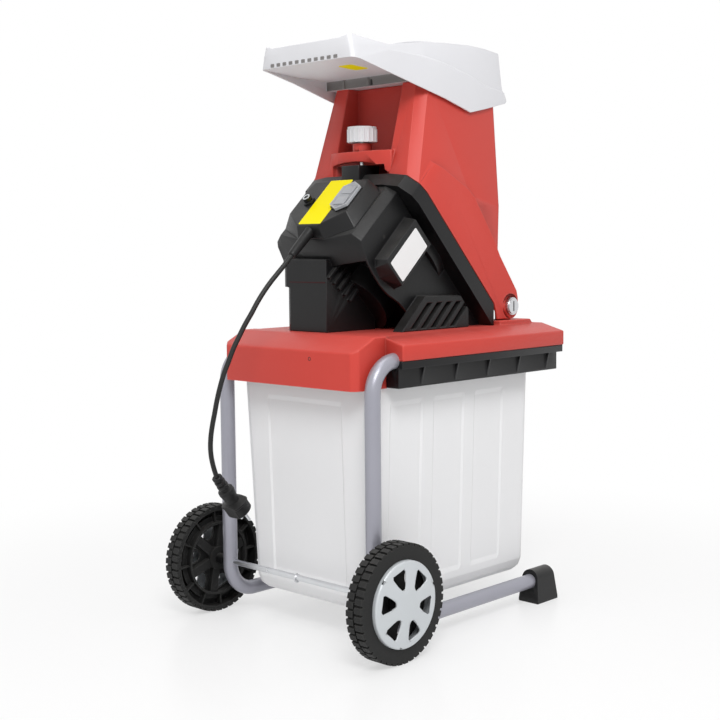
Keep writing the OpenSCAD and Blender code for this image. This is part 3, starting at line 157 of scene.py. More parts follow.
# %% Moulded grain
def build_moulded_grain():
    group, given, out = new_group("moulded_grain", [("Fineness", 1500.0), ("Drift", 7.0)],
                                  ["Height", "Tone"])
    where = group.nodes.new("ShaderNodeTexCoord")
    fine = group.nodes.new("ShaderNodeTexNoise")
    fine.inputs["Detail"].default_value = 2.0
    slow = group.nodes.new("ShaderNodeTexNoise")
    slow.inputs["Detail"].default_value = 4.0
    slow.inputs["Roughness"].default_value = 0.6
    group.links.new(where.outputs["Object"], fine.inputs["Vector"])
    group.links.new(where.outputs["Object"], slow.inputs["Vector"])
    group.links.new(given.outputs["Fineness"], fine.inputs["Scale"])
    group.links.new(given.outputs["Drift"], slow.inputs["Scale"])
    group.links.new(fine.outputs["Fac"], out.inputs["Height"])
    group.links.new(slow.outputs["Fac"], out.inputs["Tone"])
    return group


moulded_grain = build_moulded_grain()


# %% Corner rub
def build_corner_rub():
    group, given, out = new_group("corner_rub", [("Width", 0.003), ("Amount", 0.5)], ["Mask"])
    rounded = group.nodes.new("ShaderNodeBevel")
    rounded.samples = 4
    face = group.nodes.new("ShaderNodeNewGeometry")
    dot = group.nodes.new("ShaderNodeVectorMath")
    dot.operation = "DOT_PRODUCT"
    group.links.new(given.outputs["Width"], rounded.inputs["Radius"])
    group.links.new(rounded.outputs["Normal"], dot.inputs[0])
    group.links.new(face.outputs["Normal"], dot.inputs[1])
    away = math_node(group, "SUBTRACT", 1.0, dot.outputs["Value"], clamp=True)
    where = group.nodes.new("ShaderNodeTexCoord")
    patch = group.nodes.new("ShaderNodeTexNoise")
    patch.inputs["Scale"].default_value = 45.0
    patch.inputs["Detail"].default_value = 5.0
    group.links.new(where.outputs["Object"], patch.inputs["Vector"])
    broken = math_node(group, "MULTIPLY", away, patch.outputs["Fac"])
    strong = math_node(group, "MULTIPLY", broken, 7.0, clamp=True)
    mask = math_node(group, "MULTIPLY", strong, given.outputs["Amount"])
    group.links.new(mask, out.inputs["Mask"])
    return group


corner_rub = build_corner_rub()


# %% Settled dust
def build_settled_dust():
    group, given, out = new_group("settled_dust", [("Amount", 0.1)], ["Mask"])
    face = group.nodes.new("ShaderNodeNewGeometry")
    axes = group.nodes.new("ShaderNodeSeparateXYZ")
    group.links.new(face.outputs["Normal"], axes.inputs["Vector"])
    upward = math_node(group, "MAXIMUM", axes.outputs["Z"], 0.0)
    facing = math_node(group, "POWER", upward, 3.0)
    where = group.nodes.new("ShaderNodeTexCoord")
    cloud = group.nodes.new("ShaderNodeTexNoise")
    cloud.inputs["Scale"].default_value = 30.0
    cloud.inputs["Detail"].default_value = 6.0
    group.links.new(where.outputs["Object"], cloud.inputs["Vector"])
    spread = math_node(group, "MULTIPLY", facing, cloud.outputs["Fac"])
    mask = math_node(group, "MULTIPLY", spread, given.outputs["Amount"])
    group.links.new(mask, out.inputs["Mask"])
    return group


settled_dust = build_settled_dust()


# %% Recess shade
def build_recess_shade():
    # Painted shade: ambient occlusion of the piece's own mesh gives the mask that darkens hollows.
    group, given, out = new_group("recess_shade", [("Reach", 0.06), ("Amount", 0.6)], ["Mask"])
    open_sky = group.nodes.new("ShaderNodeAmbientOcclusion")
    open_sky.samples = 6
    open_sky.only_local = True
    group.links.new(given.outputs["Reach"], open_sky.inputs["Distance"])
    shut_in = math_node(group, "SUBTRACT", 1.0, open_sky.outputs["AO"], clamp=True)
    mask = math_node(group, "MULTIPLY", shut_in, given.outputs["Amount"])
    group.links.new(mask, out.inputs["Mask"])
    return group


recess_shade = build_recess_shade()
print("groups", [g.name for g in bpy.data.node_groups])

# %% [markdown]
# ## Finishes
# One function lays the four effects over a base colour and feeds a Principled shader. The red
# shells, the black shells, the pale hood and the rubber differ only in the values they pass, and
# a value that is even over the whole surface goes straight on the shader's socket.

# %% The finish maker
def add_group(tree, group, **values):
    node = tree.nodes.new("ShaderNodeGroup")
    node.node_tree = group
    for label, value in values.items():
        node.inputs[label].default_value = value
    return node


def mix_colour(tree, factor, a, b):
    node = tree.nodes.new("ShaderNodeMix")
    node.data_type = "RGBA"
    tree.links.new(factor, node.inputs["Factor"])
    for label, value in (("A", a), ("B", b)):
        socket = [s for s in node.inputs if s.name == label and s.type == "RGBA"][0]
        if isinstance(value, tuple):
            socket.default_value = (*value, 1.0)
        else:
            tree.links.new(value, socket)
    return [s for s in node.outputs if s.type == "RGBA"][0]


DUST_COLOUR = (0.62, 0.6, 0.57)
# Painted shade: hollows darken towards the deep tone scaled by this factor.
PAINTED_SHADE_TONE = 0.2
GLOW_DEPTH = 0.015
ROUGHNESS_SWING = 0.16
GRAIN_HEIGHT = 0.0006


def moulded_finish(name, colour, deep, rub, roughness, metallic=0.0, grain=0.25, fineness=1500.0,
                   drift=7.0, rub_amount=0.4, dust=0.08, specular=0.5, coat=0.0, glow=0.0,
                   painted_shade=0.6, reach=0.06):
    """A Principled material with the four shared effects over one base colour."""
    material = bpy.data.materials.new(name)
    material.use_nodes = True
    tree = material.node_tree
    shader = tree.nodes["Principled BSDF"]
    shader.inputs["Metallic"].default_value = metallic
    shader.inputs["Specular IOR Level"].default_value = specular
    shader.inputs["Coat Weight"].default_value = coat
    shader.inputs["Subsurface Weight"].default_value = glow
    shader.inputs["Subsurface Radius"].default_value = (1.0, 1.0, 1.0)
    shader.inputs["Subsurface Scale"].default_value = GLOW_DEPTH
    skin = add_group(tree, moulded_grain, Fineness=fineness, Drift=drift)
    corner = add_group(tree, corner_rub, Amount=rub_amount)
    settled = add_group(tree, settled_dust, Amount=dust)
    hollow = add_group(tree, recess_shade, Amount=painted_shade, Reach=reach)
    toned = mix_colour(tree, skin.outputs["Tone"], deep, colour)
    # Painted shade: hollows found by ambient occlusion darken towards a dark tone.
    painted_shade_colour = tuple(PAINTED_SHADE_TONE * part for part in deep)
    painted_shade_mixed = mix_colour(tree, hollow.outputs["Mask"], toned, painted_shade_colour)
    rubbed = mix_colour(tree, corner.outputs["Mask"], painted_shade_mixed, rub)
    dusty = mix_colour(tree, settled.outputs["Mask"], rubbed, DUST_COLOUR)
    tree.links.new(dusty, shader.inputs["Base Color"])
    uneven = math_node(tree, "MULTIPLY_ADD", skin.outputs["Tone"], ROUGHNESS_SWING)
    uneven.node.inputs[2].default_value = roughness - ROUGHNESS_SWING / 2
    dulled = math_node(tree, "ADD", uneven, settled.outputs["Mask"], clamp=True)
    tree.links.new(dulled, shader.inputs["Roughness"])
    bump = tree.nodes.new("ShaderNodeBump")
    bump.inputs["Strength"].default_value = grain
    bump.inputs["Distance"].default_value = GRAIN_HEIGHT
    tree.links.new(skin.outputs["Height"], bump.inputs["Height"])
    tree.links.new(bump.outputs["Normal"], shader.inputs["Normal"])
    return material


# %% The finishes of this machine
# Painted shade in hollows is strongest on the red shell and weakest on the bin.
red_shell = moulded_finish(
    "red_shell", (0.61, 0.062, 0.046), (0.54, 0.046, 0.034), (0.76, 0.2, 0.165),
    0.42, specular=0.3, painted_shade=0.9, reach=0.11)
black_shell = moulded_finish(
    "black_shell", (0.006, 0.006, 0.0065), (0.004, 0.004, 0.0045), (0.05, 0.05, 0.054),
    0.36, dust=0.15, specular=0.32)
pale_hood = moulded_finish(
    "pale_hood", (0.73, 0.73, 0.755), (0.69, 0.69, 0.715), (0.82, 0.82, 0.84),
    0.42, dust=0.04, specular=0.35, painted_shade=0.25)
bin_plastic = moulded_finish(
    "bin_plastic", (0.90, 0.90, 0.91), (0.86, 0.86, 0.87), (0.94, 0.94, 0.95),
    0.48, drift=3.0, dust=0.03, specular=0.3, glow=0.12, painted_shade=0.1)
tube_paint = moulded_finish(
    "tube_paint", (0.36, 0.36, 0.41), (0.32, 0.32, 0.37), (0.55, 0.55, 0.6),
    0.34, metallic=0.35, grain=0.12, fineness=2600.0, dust=0.04)
zinc_plate = moulded_finish(
    "zinc_plate", (0.70, 0.71, 0.73), (0.6, 0.61, 0.63), (0.85, 0.85, 0.86),
    0.3, metallic=1.0, grain=0.08, fineness=2200.0, drift=60.0, dust=0.0)
tread_plastic = moulded_finish(
    "tread_plastic", (0.018, 0.018, 0.0175), (0.011, 0.011, 0.011), (0.06, 0.06, 0.058),
    0.6, grain=0.35, fineness=1100.0, dust=0.08, specular=0.25)
silver_cap = moulded_finish(
    "silver_cap", (0.60, 0.63, 0.65), (0.55, 0.58, 0.60), (0.8, 0.82, 0.83),
    0.36, metallic=0.25, grain=0.1, fineness=2600.0, dust=0.05)
cord_rubber = moulded_finish(
    "cord_rubber", (0.018, 0.0185, 0.0175), (0.012, 0.012, 0.012), (0.06, 0.06, 0.06),
    0.45, grain=0.2, fineness=1800.0, dust=0.05, specular=0.3)
plug_rubber = moulded_finish(
    "plug_rubber", (0.011, 0.011, 0.0115), (0.007, 0.007, 0.007), (0.05, 0.05, 0.05),
    0.4, grain=0.2, dust=0.04, specular=0.26)
boot_rubber = moulded_finish(
    "boot_rubber", (0.36, 0.37, 0.39), (0.30, 0.31, 0.33), (0.55, 0.56, 0.58),
    0.34, grain=0.1, dust=0.05, coat=0.3)
motor_iron = moulded_finish(
    "motor_iron", (0.36, 0.37, 0.39), (0.28, 0.29, 0.31), (0.55, 0.56, 0.58),
    0.45, metallic=1.0, grain=0.2, dust=0.0)
copper_wire = moulded_finish(
    "copper_wire", (0.66, 0.33, 0.17), (0.5, 0.24, 0.12), (0.8, 0.5, 0.3),
    0.38, metallic=1.0, grain=0.15, dust=0.0)
brass_sheet = moulded_finish(
    "brass_sheet", (0.72, 0.56, 0.26), (0.6, 0.46, 0.2), (0.85, 0.72, 0.42),
    0.35, metallic=1.0, grain=0.1, dust=0.0)
brush_carbon = moulded_finish(
    "brush_carbon", (0.03, 0.03, 0.03), (0.02, 0.02, 0.02), (0.08, 0.08, 0.08),
    0.6)
knife_steel = moulded_finish(
    "knife_steel", (0.66, 0.67, 0.69), (0.58, 0.59, 0.61), (0.9, 0.9, 0.91),
    0.24, metallic=1.0, grain=0.06, fineness=2600.0, drift=40.0, dust=0.0)
start_green = moulded_finish(
    "start_green", (0.03, 0.27, 0.06), (0.02, 0.22, 0.05), (0.2, 0.45, 0.22),
    0.35)
stop_red = moulded_finish(
    "stop_red", (0.55, 0.02, 0.02), (0.45, 0.015, 0.015), (0.7, 0.2, 0.2),
    0.35)
yellow_foil = moulded_finish(
    "yellow_foil", (0.93, 0.80, 0.0), (0.90, 0.77, 0.0), (0.95, 0.85, 0.1),
    0.45, grain=0.06, dust=0.01, specular=0.12)
white_foil = moulded_finish(
    "white_foil", (0.84, 0.84, 0.84), (0.80, 0.80, 0.80), (0.9, 0.9, 0.9),
    0.4, grain=0.06, dust=0.02)
slot_shade = moulded_finish(
    "slot_shade", (0.03, 0.029, 0.028), (0.02, 0.019, 0.018), (0.06, 0.06, 0.06),
    0.6, specular=0.2)
# Painted shade: a dark grey for pale-hood faces and trim that lie in shade under the tray.
hood_painted_shade = moulded_finish(
    "hood_painted_shade", (0.22, 0.21, 0.205), (0.17, 0.16, 0.155), (0.4, 0.39, 0.38),
    0.5, dust=0.0, specular=0.25)
seal_red = moulded_finish(
    "seal_red", (0.035, 0.005, 0.007), (0.02, 0.003, 0.004), (0.08, 0.02, 0.02),
    0.55, specular=0.2)
print("finishes", len(bpy.data.materials))

# %% [markdown]
# ## Finishes on the CAD nodes
# A node whose shape is already right keeps its own mesh. Its material slots are filled from a
# list that names the finish of each node.

# %% Paint the nodes
node_finish = {
    "left_frame_tube": tube_paint, "right_frame_tube": tube_paint, "axle": zinc_plate,
    "axle_spacers": black_shell, "axle_nuts": zinc_plate, "left_wheel": tread_plastic,
    "right_wheel": tread_plastic, "left_hub_cap": silver_cap, "right_hub_cap": silver_cap,
    "left_foot": black_shell, "right_foot": black_shell, "deck_cover": red_shell,
    "left_rail": black_shell, "right_rail": black_shell, "hinge_bolts": zinc_plate,
    "collection_box": bin_plastic, "cutter_housing": black_shell, "motor_cover": black_shell,
    "control_box": black_shell, "lock_socket": black_shell, "lock_nut": zinc_plate,
    "safety_switch": black_shell, "switch_frame": black_shell, "switch_boot": boot_rubber,
    "start_button": start_green, "stop_button": stop_red, "reset_collar": black_shell,
    "reset_button": black_shell, "cord_sleeve": cord_rubber, "cord": cord_rubber,
    "plug_body": plug_rubber, "plug_pins": zinc_plate, "motor_frame": motor_iron,
    "motor_stator": motor_iron, "front_bearing": knife_steel, "rear_bearing": knife_steel,
    "brush_holders": brass_sheet, "carbon_brushes": brush_carbon, "motor_shaft": knife_steel,
    "rotor_core": copper_wire, "commutator": copper_wire, "cooling_fan": black_shell,
    "blade_disc": motor_iron, "blades": knife_steel, "blade_screws": motor_iron,
    "disc_bolt": zinc_plate, "hopper": red_shell, "feed_hood": pale_hood,
    "lock_washer": zinc_plate, "lock_knob": pale_hood, "lock_screw": zinc_plate,
}
for label, finish in node_finish.items():
    mesh = nodes[label].data
    mesh.materials.clear()
    mesh.materials.append(finish)
print("painted", len(node_finish), "of", len(nodes))

# %% [markdown]
# ## Rounded mouldings
# Real moulded shells have no knife edges: every corner has a small radius that catches the light.
# The radius could be drawn in CAD, but it would slow every solid there. Here each shell's mesh is
# copied, its loose triangles are merged and its flat faces joined, and then only the sharp edges
# get a bevel. Edges too short for the radius are left as they are.

# %% Copy a shell and round edges
SAME_POINT = 2e-6
FLAT_ANGLE = math.radians(0.8)


def merged_copy(label):
    """A node's mesh as a bmesh, its loose triangles merged and its flat faces joined."""
    bm = bmesh.new()
    bm.from_mesh(nodes[label].data)
    bmesh.ops.remove_doubles(bm, verts=bm.verts, dist=SAME_POINT)
    bmesh.ops.dissolve_limit(bm, angle_limit=FLAT_ANGLE, verts=bm.verts, edges=bm.edges)
    return bm


def round_edges(bm, edges, width, segments, clamp):
    bmesh.ops.bevel(bm, geom=edges, offset=width, offset_type="OFFSET", segments=segments,
                    profile=0.5, affect="EDGES", clamp_overlap=clamp, material=-1)


# %% [markdown]
# ## Bevels that fold
# Where a wall is thin or a corner is crowded, a bevel can push a face over itself, and the folded
# part shades black. A fold shows as a triangle that looks against its own face. Each original face
# carries a number through the bevel, so a face that folds is known, and the next try leaves the
# edges around it sharp.

# %% Find folds and soften a shell
FOLD_AREA = 20e-6
TRIES = 8


def folded_faces(bm, origin):
    """The numbers of the faces that a bevel has folded over by more than FOLD_AREA."""
    folds = {}
    bm.normal_update()
    for a, b, c in bm.calc_loop_triangles():
        cross = (b.vert.co - a.vert.co).cross(c.vert.co - a.vert.co)
        if cross.dot(a.face.normal) < 0:
            folds[a.face] = folds.get(a.face, 0) + cross.length / 2
    return {face[origin] for face, area in folds.items() if area > FOLD_AREA}


def soften(label, width, finish, body, segments=2, angle=24, shortest=2.2, shade=32,
           reshape=None):
    """A copy of a node with its sharp edges rounded, which stands in for the node."""
    kept_sharp = set()
    for _ in range(TRIES):
        bm = merged_copy(label)
        if reshape:
            reshape(bm)
        origin = bm.faces.layers.int.new("origin")
        for number, face in enumerate(bm.faces):
            face[origin] = number
        sharp = [e for e in bm.edges
                 if e.is_manifold and e.calc_face_angle(0) > math.radians(angle)
                 and e.calc_length() > shortest * width
                 and not any(f[origin] in kept_sharp for f in e.link_faces)]
        round_edges(bm, sharp, width, segments, clamp=False)
        folded = folded_faces(bm, origin)
        if not folded:
            break
        kept_sharp |= folded
    bm.faces.layers.int.remove(origin)
    print(label, "edges", len(sharp), "kept sharp", len(kept_sharp), "folds left", len(folded))
    return make_piece(label + "_soft", bm, body, finish, angle=shade,
                      stands_for=(label,))


# %% [markdown]
# ## Two shells that change a little
# The tray's floor ends in an upright step at the hopper, where the drawing has a slope: its points
# move forward, the more the nearer they lie to the bend. The openings of the hub caps reach nearer
# to the hub than drawn: the points of their walls slide along the radius.

# %% Tray step
TRAY_BEND, TRAY_END, TRAY_SEAT, TRAY_RISE, TRAY_WALL = 155, 188, 905, 13.5, 3.4
TRAY_SHIFT = Vector((0, 0.031, 0.0015))
ON_TRAY = 0.5


def square_tray_step(bm):
    """Bring the sloped end of the tray's floor forward, so that it stands upright."""
    moved = 0
    for vert in bm.verts:
        y, z = (vert.co.y - AXLE_Y) * 1000, vert.co.z * 1000
        left_over = (TRAY_END - y) / (TRAY_END - TRAY_BEND)
        slope = TRAY_SEAT + TRAY_RISE * left_over
        off_slope = min(abs(z - slope), abs(z - slope - TRAY_WALL))
        if 0 < left_over < 1.02 and off_slope < ON_TRAY:
            vert.co += TRAY_SHIFT * left_over
            moved += 1
    print("tray step", moved, "points moved")


# %% Cap windows
WHEEL_R, CAP_R, WHEEL_TURN = 0.0935, 0.068, -11.5
WINDOW_STEP, ON_WINDOW = 60, 0.4
WINDOW_FROM, WINDOW_TO = 0.48, 0.82
WINDOW_HALF = ((0.485, 5), (0.535, 10.5), (0.61, 13.5), (0.77, 15.5), (0.815, 13))
WINDOW_REACH = ((0.485, 0.39), (0.535, 0.45), (0.61, 0.56), (0.77, 0.78), (0.815, 0.835))


def lookup(x, table):
    """The value at x on a broken line of (x, value) points."""
    for (x0, v0), (x1, v1) in zip(table, table[1:]):
        if x <= x1:
            return v0 + (v1 - v0) * (x - x0) / (x1 - x0)
    return table[-1][1]


def deepen_windows(bm):
    """Draw the six openings of a hub cap towards the hub and the rim."""
    moved = 0
    for vert in bm.verts:
        y, z = vert.co.y - AXLE_Y, WHEEL_R - vert.co.z
        share = math.hypot(y, z) / CAP_R
        turn = (math.degrees(math.atan2(y, z)) - WHEEL_TURN) % WINDOW_STEP - WINDOW_STEP / 2
        half = lookup(share, WINDOW_HALF)
        if WINDOW_FROM < share < WINDOW_TO and abs(turn) < half + ON_WINDOW:
            stretch = lookup(share, WINDOW_REACH) / share
            vert.co.y, vert.co.z = AXLE_Y + y * stretch, WHEEL_R - z * stretch
            moved += 1
    print("cap windows", moved, "points moved")


# %% Soften the shells
soften("deck_cover", 0.0022, red_shell, "base")
soften("hopper", 0.0018, red_shell, "hopper_body")
hood = soften("feed_hood", 0.0009, pale_hood, "hopper_body", shortest=14, shade=20,
              reshape=square_tray_step)
soften("motor_cover", 0.0014, black_shell, "base", shade=18)
soften("control_box", 0.0016, black_shell, "base", shade=18)
soften("cutter_housing", 0.0014, black_shell, "base")
soften("lock_socket", 0.0012, black_shell, "base")
for side in ("left", "right"):
    soften(side + "_hub_cap", 0.0014, silver_cap, side + "_wheel_body", segments=3,
           reshape=deepen_windows)
    soften(side + "_foot", 0.0013, black_shell, "base")
    soften(side + "_rail", 0.001, black_shell, "base")

# %% [markdown]
# ## Tools for small trim
# Labels, slots and screw heads are small, but they give the machine its scale. A flat plate is a
# cube stretched to size with its corners rounded, and a turned piece is a short profile spun
# about an axis. A ray cast on the carrying mesh finds the surface for a piece, so that nothing
# floats when a size in the drawing changes.

# %% Plates, turned pieces and surfaces
ACROSS = Vector((1, 0, 0))
UPRIGHT = (ACROSS, Vector((0, 1, 0)), Vector((0, 0, 1)))
HEAD = (ACROSS, HEAD_V, HEAD_U)
OUTSIDE = 300


def touch(carrier, start, direction):
    """The first point of a piece's surface that a ray meets, and the surface's direction there."""
    mesh = carrier.data
    tree = BVHTree.FromPolygons([v.co for v in mesh.vertices],
                                [p.vertices for p in mesh.polygons])
    place, normal, _, _ = tree.ray_cast(start, direction)
    return place, normal


def add_brick(bm, centre, axes, size, thin=None, corner=0.0, soft=0.0):
    """A block of the given size in millimetres, its corners rounded about its thin axis."""
    turn = Matrix(axes).transposed().to_4x4()
    grown = Matrix.Diagonal((*[length / 1000 for length in size], 1))
    placed = Matrix.Translation(centre) @ turn @ grown
    verts = bmesh.ops.create_cube(bm, size=1, matrix=placed)["verts"]
    edges = list({e for v in verts for e in v.link_edges})
    if corner:
        upright = [e for e in edges
                   if abs((e.verts[0].co - e.verts[1].co).normalized().dot(axes[thin])) > 0.99]
        round_edges(bm, upright, corner / 1000, segments=4, clamp=True)
    elif soft:
        round_edges(bm, edges, soft / 1000, segments=2, clamp=True)


def add_turned(bm, centre, axis, profile, steps=32):
    """A profile of radius and height in millimetres, spun about an axis."""
    axis = axis.normalized()
    side = axis.orthogonal().normalized()
    verts = [bm.verts.new(centre + side * r / 1000 + axis * h / 1000) for r, h in profile]
    edges = [bm.edges.new(pair) for pair in zip(verts, verts[1:])]
    bmesh.ops.spin(bm, geom=verts + edges, cent=centre, axis=axis, angle=math.tau, steps=steps,
                   use_merge=True)
    bmesh.ops.remove_doubles(bm, verts=bm.verts, dist=1e-6)
    bmesh.ops.recalc_face_normals(bm, faces=bm.faces)


# %% [markdown]
# ## Bare plates
# The machine carries a yellow strip beside its switch, a yellow patch under the feed tray and a
# white plate on the motor pad. Here they are left bare: thin foils with round corners.

# %% Foils
STRIP_SIZE, PLATE_SIZE, PATCH_SIZE = (51, 0.6, 106), (0.8, 42, 83), (30, 42, 0.6)
strip_bm = bmesh.new()
add_brick(strip_bm, on_head(2, 87, 168.2), HEAD, STRIP_SIZE, thin=1, corner=2)
make_piece("control_strip", strip_bm, "base", yellow_foil)

pad_face, _ = touch(nodes["motor_cover"], on_head(OUTSIDE, 95, 57), -ACROSS)
plate_at = Vector((pad_face.x, *on_head(0, 95.5, 57)[1:]))
plate_bm = bmesh.new()
add_brick(plate_bm, plate_at, HEAD, PLATE_SIZE, thin=0, corner=2.5)
make_piece("motor_plate", plate_bm, "base", white_foil)

tray_under, tray_down = touch(hood, at(42, 98, 700), UPRIGHT[2])
tray_axes = (ACROSS, tray_down.cross(ACROSS), tray_down)
patch_bm = bmesh.new()
add_brick(patch_bm, tray_under, tray_axes, PATCH_SIZE, thin=2, corner=5)
make_piece("tray_patch", patch_bm, "hopper_body", yellow_foil)
print("foils on", [round(v, 4) for v in pad_face], [round(v, 4) for v in tray_under])

# %% [markdown]
# ## Slots, screws and seams
# A row of narrow slots runs along the lower edge of the tray's rear wall; they are grey blocks
# painted with the shade of the openings. The upright step between the tray and the hopper is
# painted dark grey as the shade under the tray, and two ribs and a dark gap block in painted shade
# break it. The can behind the motor has a seam of red sealing compound, the deck's skirt has one
# small screw, and a clip stops the axle.

# %% Tray slots
SLOTS, SLOT_PITCH, SLOT_SHIFT, SLOT_Z = 11, 14.6, -3, 931
# Painted shade: each slot is a grey block standing for the shade of an opening.
slot_bm = bmesh.new()
for index in range(SLOTS):
    across = (index - (SLOTS - 1) / 2) * SLOT_PITCH + SLOT_SHIFT
    wall, _ = touch(hood, at(across, -100, SLOT_Z), UPRIGHT[1])
    add_brick(slot_bm, wall, UPRIGHT, (8.5, 0.9, 5.5), thin=1, corner=1.2)
make_piece("tray_slots", slot_bm, "hopper_body", hood_painted_shade)
print("slots", SLOTS, "on the wall at", round(wall.y, 4))

# %% Step under the tray
STEP_LOW, STEP_MIDDLE, STEP_HIGH, STEP_DEPTH = 0.904, 0.9125, 0.921, 0.0015
step_wall, _ = touch(hood, at(-20, 100, 912), UPRIGHT[1])
# Painted shade: the step's faces that look back take the dark grey of the shade under the tray.
hood.data.materials.append(hood_painted_shade)
shaded = 0
for polygon in hood.data.polygons:
    faces_back = polygon.normal.y < -0.9
    on_step = abs(polygon.center.y - step_wall.y) < STEP_DEPTH
    if faces_back and on_step and STEP_LOW < polygon.center.z < STEP_HIGH:
        polygon.material_index = 1
        shaded += 1
# Painted shade: a dark block stands for the gap in the step, and the ribs take the dark grey.
gap_bm = bmesh.new()
gap_at = Vector((-0.002, step_wall.y, STEP_MIDDLE))
add_brick(gap_bm, gap_at, UPRIGHT, (4, 1, 13), thin=1, corner=0.8)
make_piece("step_gap", gap_bm, "hopper_body", slot_shade)
rib_bm = bmesh.new()
for across in (-67, -9):
    rib_at = Vector((across / 1000, step_wall.y, STEP_MIDDLE))
    add_brick(rib_bm, rib_at, UPRIGHT, (5, 5, 13.5), soft=0.8)
make_piece("step_ribs", rib_bm, "hopper_body", hood_painted_shade)
print("step wall at", round(step_wall.y, 4), "with", shaded, "shaded faces")

# %% Can seam, deck screw and axle clip
SCREW_PROFILE = [(0, -0.6), (1.6, -0.4), (2.4, 0.3), (3.0, 0.3), (3.2, -0.6)]
CLIP_PROFILE = [(4.9, -1.6), (6.6, -1.6), (7.2, -1.0), (7.2, 1.0), (6.6, 1.6), (4.9, 1.6)]
seam_wall, _ = touch(nodes["motor_cover"], at(0, -100, 572), UPRIGHT[1])
seam_bm = bmesh.new()
seam_at = Vector((-0.017, seam_wall.y, 0.5765))
add_brick(seam_bm, seam_at, UPRIGHT, (84, 1.2, 1.8), soft=0.3)
make_piece("can_seam", seam_bm, "base", seal_red)

screw_at, screw_out = touch(nodes["deck_cover"], at(56, -200, 459), UPRIGHT[1])
screw_bm = bmesh.new()
add_turned(screw_bm, screw_at, screw_out, SCREW_PROFILE, steps=20)
make_piece("deck_screw", screw_bm, "base", slot_shade)

clip_bm = bmesh.new()
add_turned(clip_bm, at(-3, 0, 92), ACROSS, CLIP_PROFILE)
add_brick(clip_bm, at(-3, 0, 98.5), UPRIGHT, (2.2, 3, 4), soft=0.6)
make_piece("axle_clip", clip_bm, "base", zinc_plate)
print("screw at", [round(v, 4) for v in screw_at])

# %% [markdown]
# ## The switch boot and the reset ring
# A clear soft boot keeps rain off the two switch buttons. It has a raised rim, a sunken skin and
# two soft pads that a finger presses. The CAD boot's top face is inset twice to make the rim and
# the skin, and the pads are soft blocks. The reset button sits deep in a turned barrel with a
# grey ring at its mouth, and a dimple marks a screw in the motor cover's side.

# %% Switch boot
SWITCH_X, SWITCH_U, PAD_PITCH = 44, 79, 25
boot_bm = merged_copy("switch_boot")
boot_top = max((f for f in boot_bm.faces if f.normal.dot(HEAD_V) > 0.99),
               key=lambda face: face.calc_center_median().dot(HEAD_V))
boot_height = boot_top.calc_center_median()
bmesh.ops.inset_region(boot_bm, faces=[boot_top], thickness=0.0028, depth=0)
bmesh.ops.inset_region(boot_bm, faces=[boot_top], thickness=0.0012, depth=-0.0011)
for side in (-1, 1):
    pad = on_head(SWITCH_X, SWITCH_U + side * PAD_PITCH / 2, 0)
    pad += HEAD_V * (boot_height - pad).dot(HEAD_V) - HEAD_V * 0.0006
    add_brick(boot_bm, pad, HEAD, (23, 1.6, 18), soft=0.6)
make_piece("switch_boot_skin", boot_bm, "base", boot_rubber,
           stands_for=("switch_boot",))
print("boot top", [round(c, 4) for c in boot_height])

# %% Reset barrel, ring and dimple
RESET_X, RESET_U, CONTROL_TOP = -37, 86, 168
BARREL_PROFILE = [(4.1, 4.4), (4.1, 11.2), (4.6, 11.7), (6.9, 11.7), (7.5, 11.1), (7.5, 4.4)]
RING_PROFILE = [(4.0, 11.4), (4.0, 12.0), (4.4, 12.3), (6.2, 12.3), (6.6, 12.0), (6.6, 11.4)]
DIMPLE_PROFILE = [(0, 0.1), (2.2, 0.15), (2.9, 0.3), (3.2, -0.5)]
reset_seat = on_head(RESET_X, RESET_U, CONTROL_TOP)
barrel_bm = bmesh.new()
add_turned(barrel_bm, reset_seat, HEAD_V, BARREL_PROFILE)
make_piece("reset_barrel", barrel_bm, "base", black_shell)
ring_bm = bmesh.new()
add_turned(ring_bm, reset_seat, HEAD_V, RING_PROFILE)
make_piece("reset_ring", ring_bm, "base", silver_cap)

dimple_at, dimple_out = touch(nodes["motor_cover"], on_head(OUTSIDE, 101, 102), -ACROSS)
dimple_bm = bmesh.new()
add_turned(dimple_bm, dimple_at, dimple_out, DIMPLE_PROFILE, steps=20)
make_piece("cover_dimple", dimple_bm, "base", slot_shade)
print("dimple at", [round(v, 4) for v in dimple_at])

# %% Slots of the hinge bolts
HINGE_Y, HINGE_Z = 400, 527
bolt_bm = bmesh.new()
for side in (-1, 1):
    head, _ = touch(nodes["hinge_bolts"], at(OUTSIDE * side, HINGE_Y, 531), -side * ACROSS)
    slot_at = Vector((head.x, *at(0, HINGE_Y, HINGE_Z)[1:]))
    add_brick(bolt_bm, slot_at, UPRIGHT, (0.6, 3, 15), thin=0, corner=1)
make_piece("hinge_slots", bolt_bm, "base", slot_shade)
print("bolt heads at", round(head.x, 4), "on each side")

# %% [markdown]
# ## The mains cord
# The photograph shows the whole cord: it leaves a tapered sleeve, falls in one bow and ends in
# its plug. A curve through the drawing's route, with a round bevel, is the cord itself.

# %% Cord sleeve
SLEEVE_U, SLEEVE_V = 143, 157
SLEEVE_PROFILE = [(0, -13), (7.8, -13), (7.8, 0), (8.8, 0.6), (9.2, 3), (8.4, 6), (8.2, 20),
                  (7.6, 40), (7.0, 55), (6.6, 58.5), (5.8, 59.8), (0, 59.8)]
sleeve_bm = bmesh.new()
add_turned(sleeve_bm, on_head(0, SLEEVE_U, SLEEVE_V), HEAD_U, SLEEVE_PROFILE)
make_piece("sleeve_shell", sleeve_bm, "base", plug_rubber,
           stands_for=("cord_sleeve",))
print("sleeve length", SLEEVE_PROFILE[-1][1])

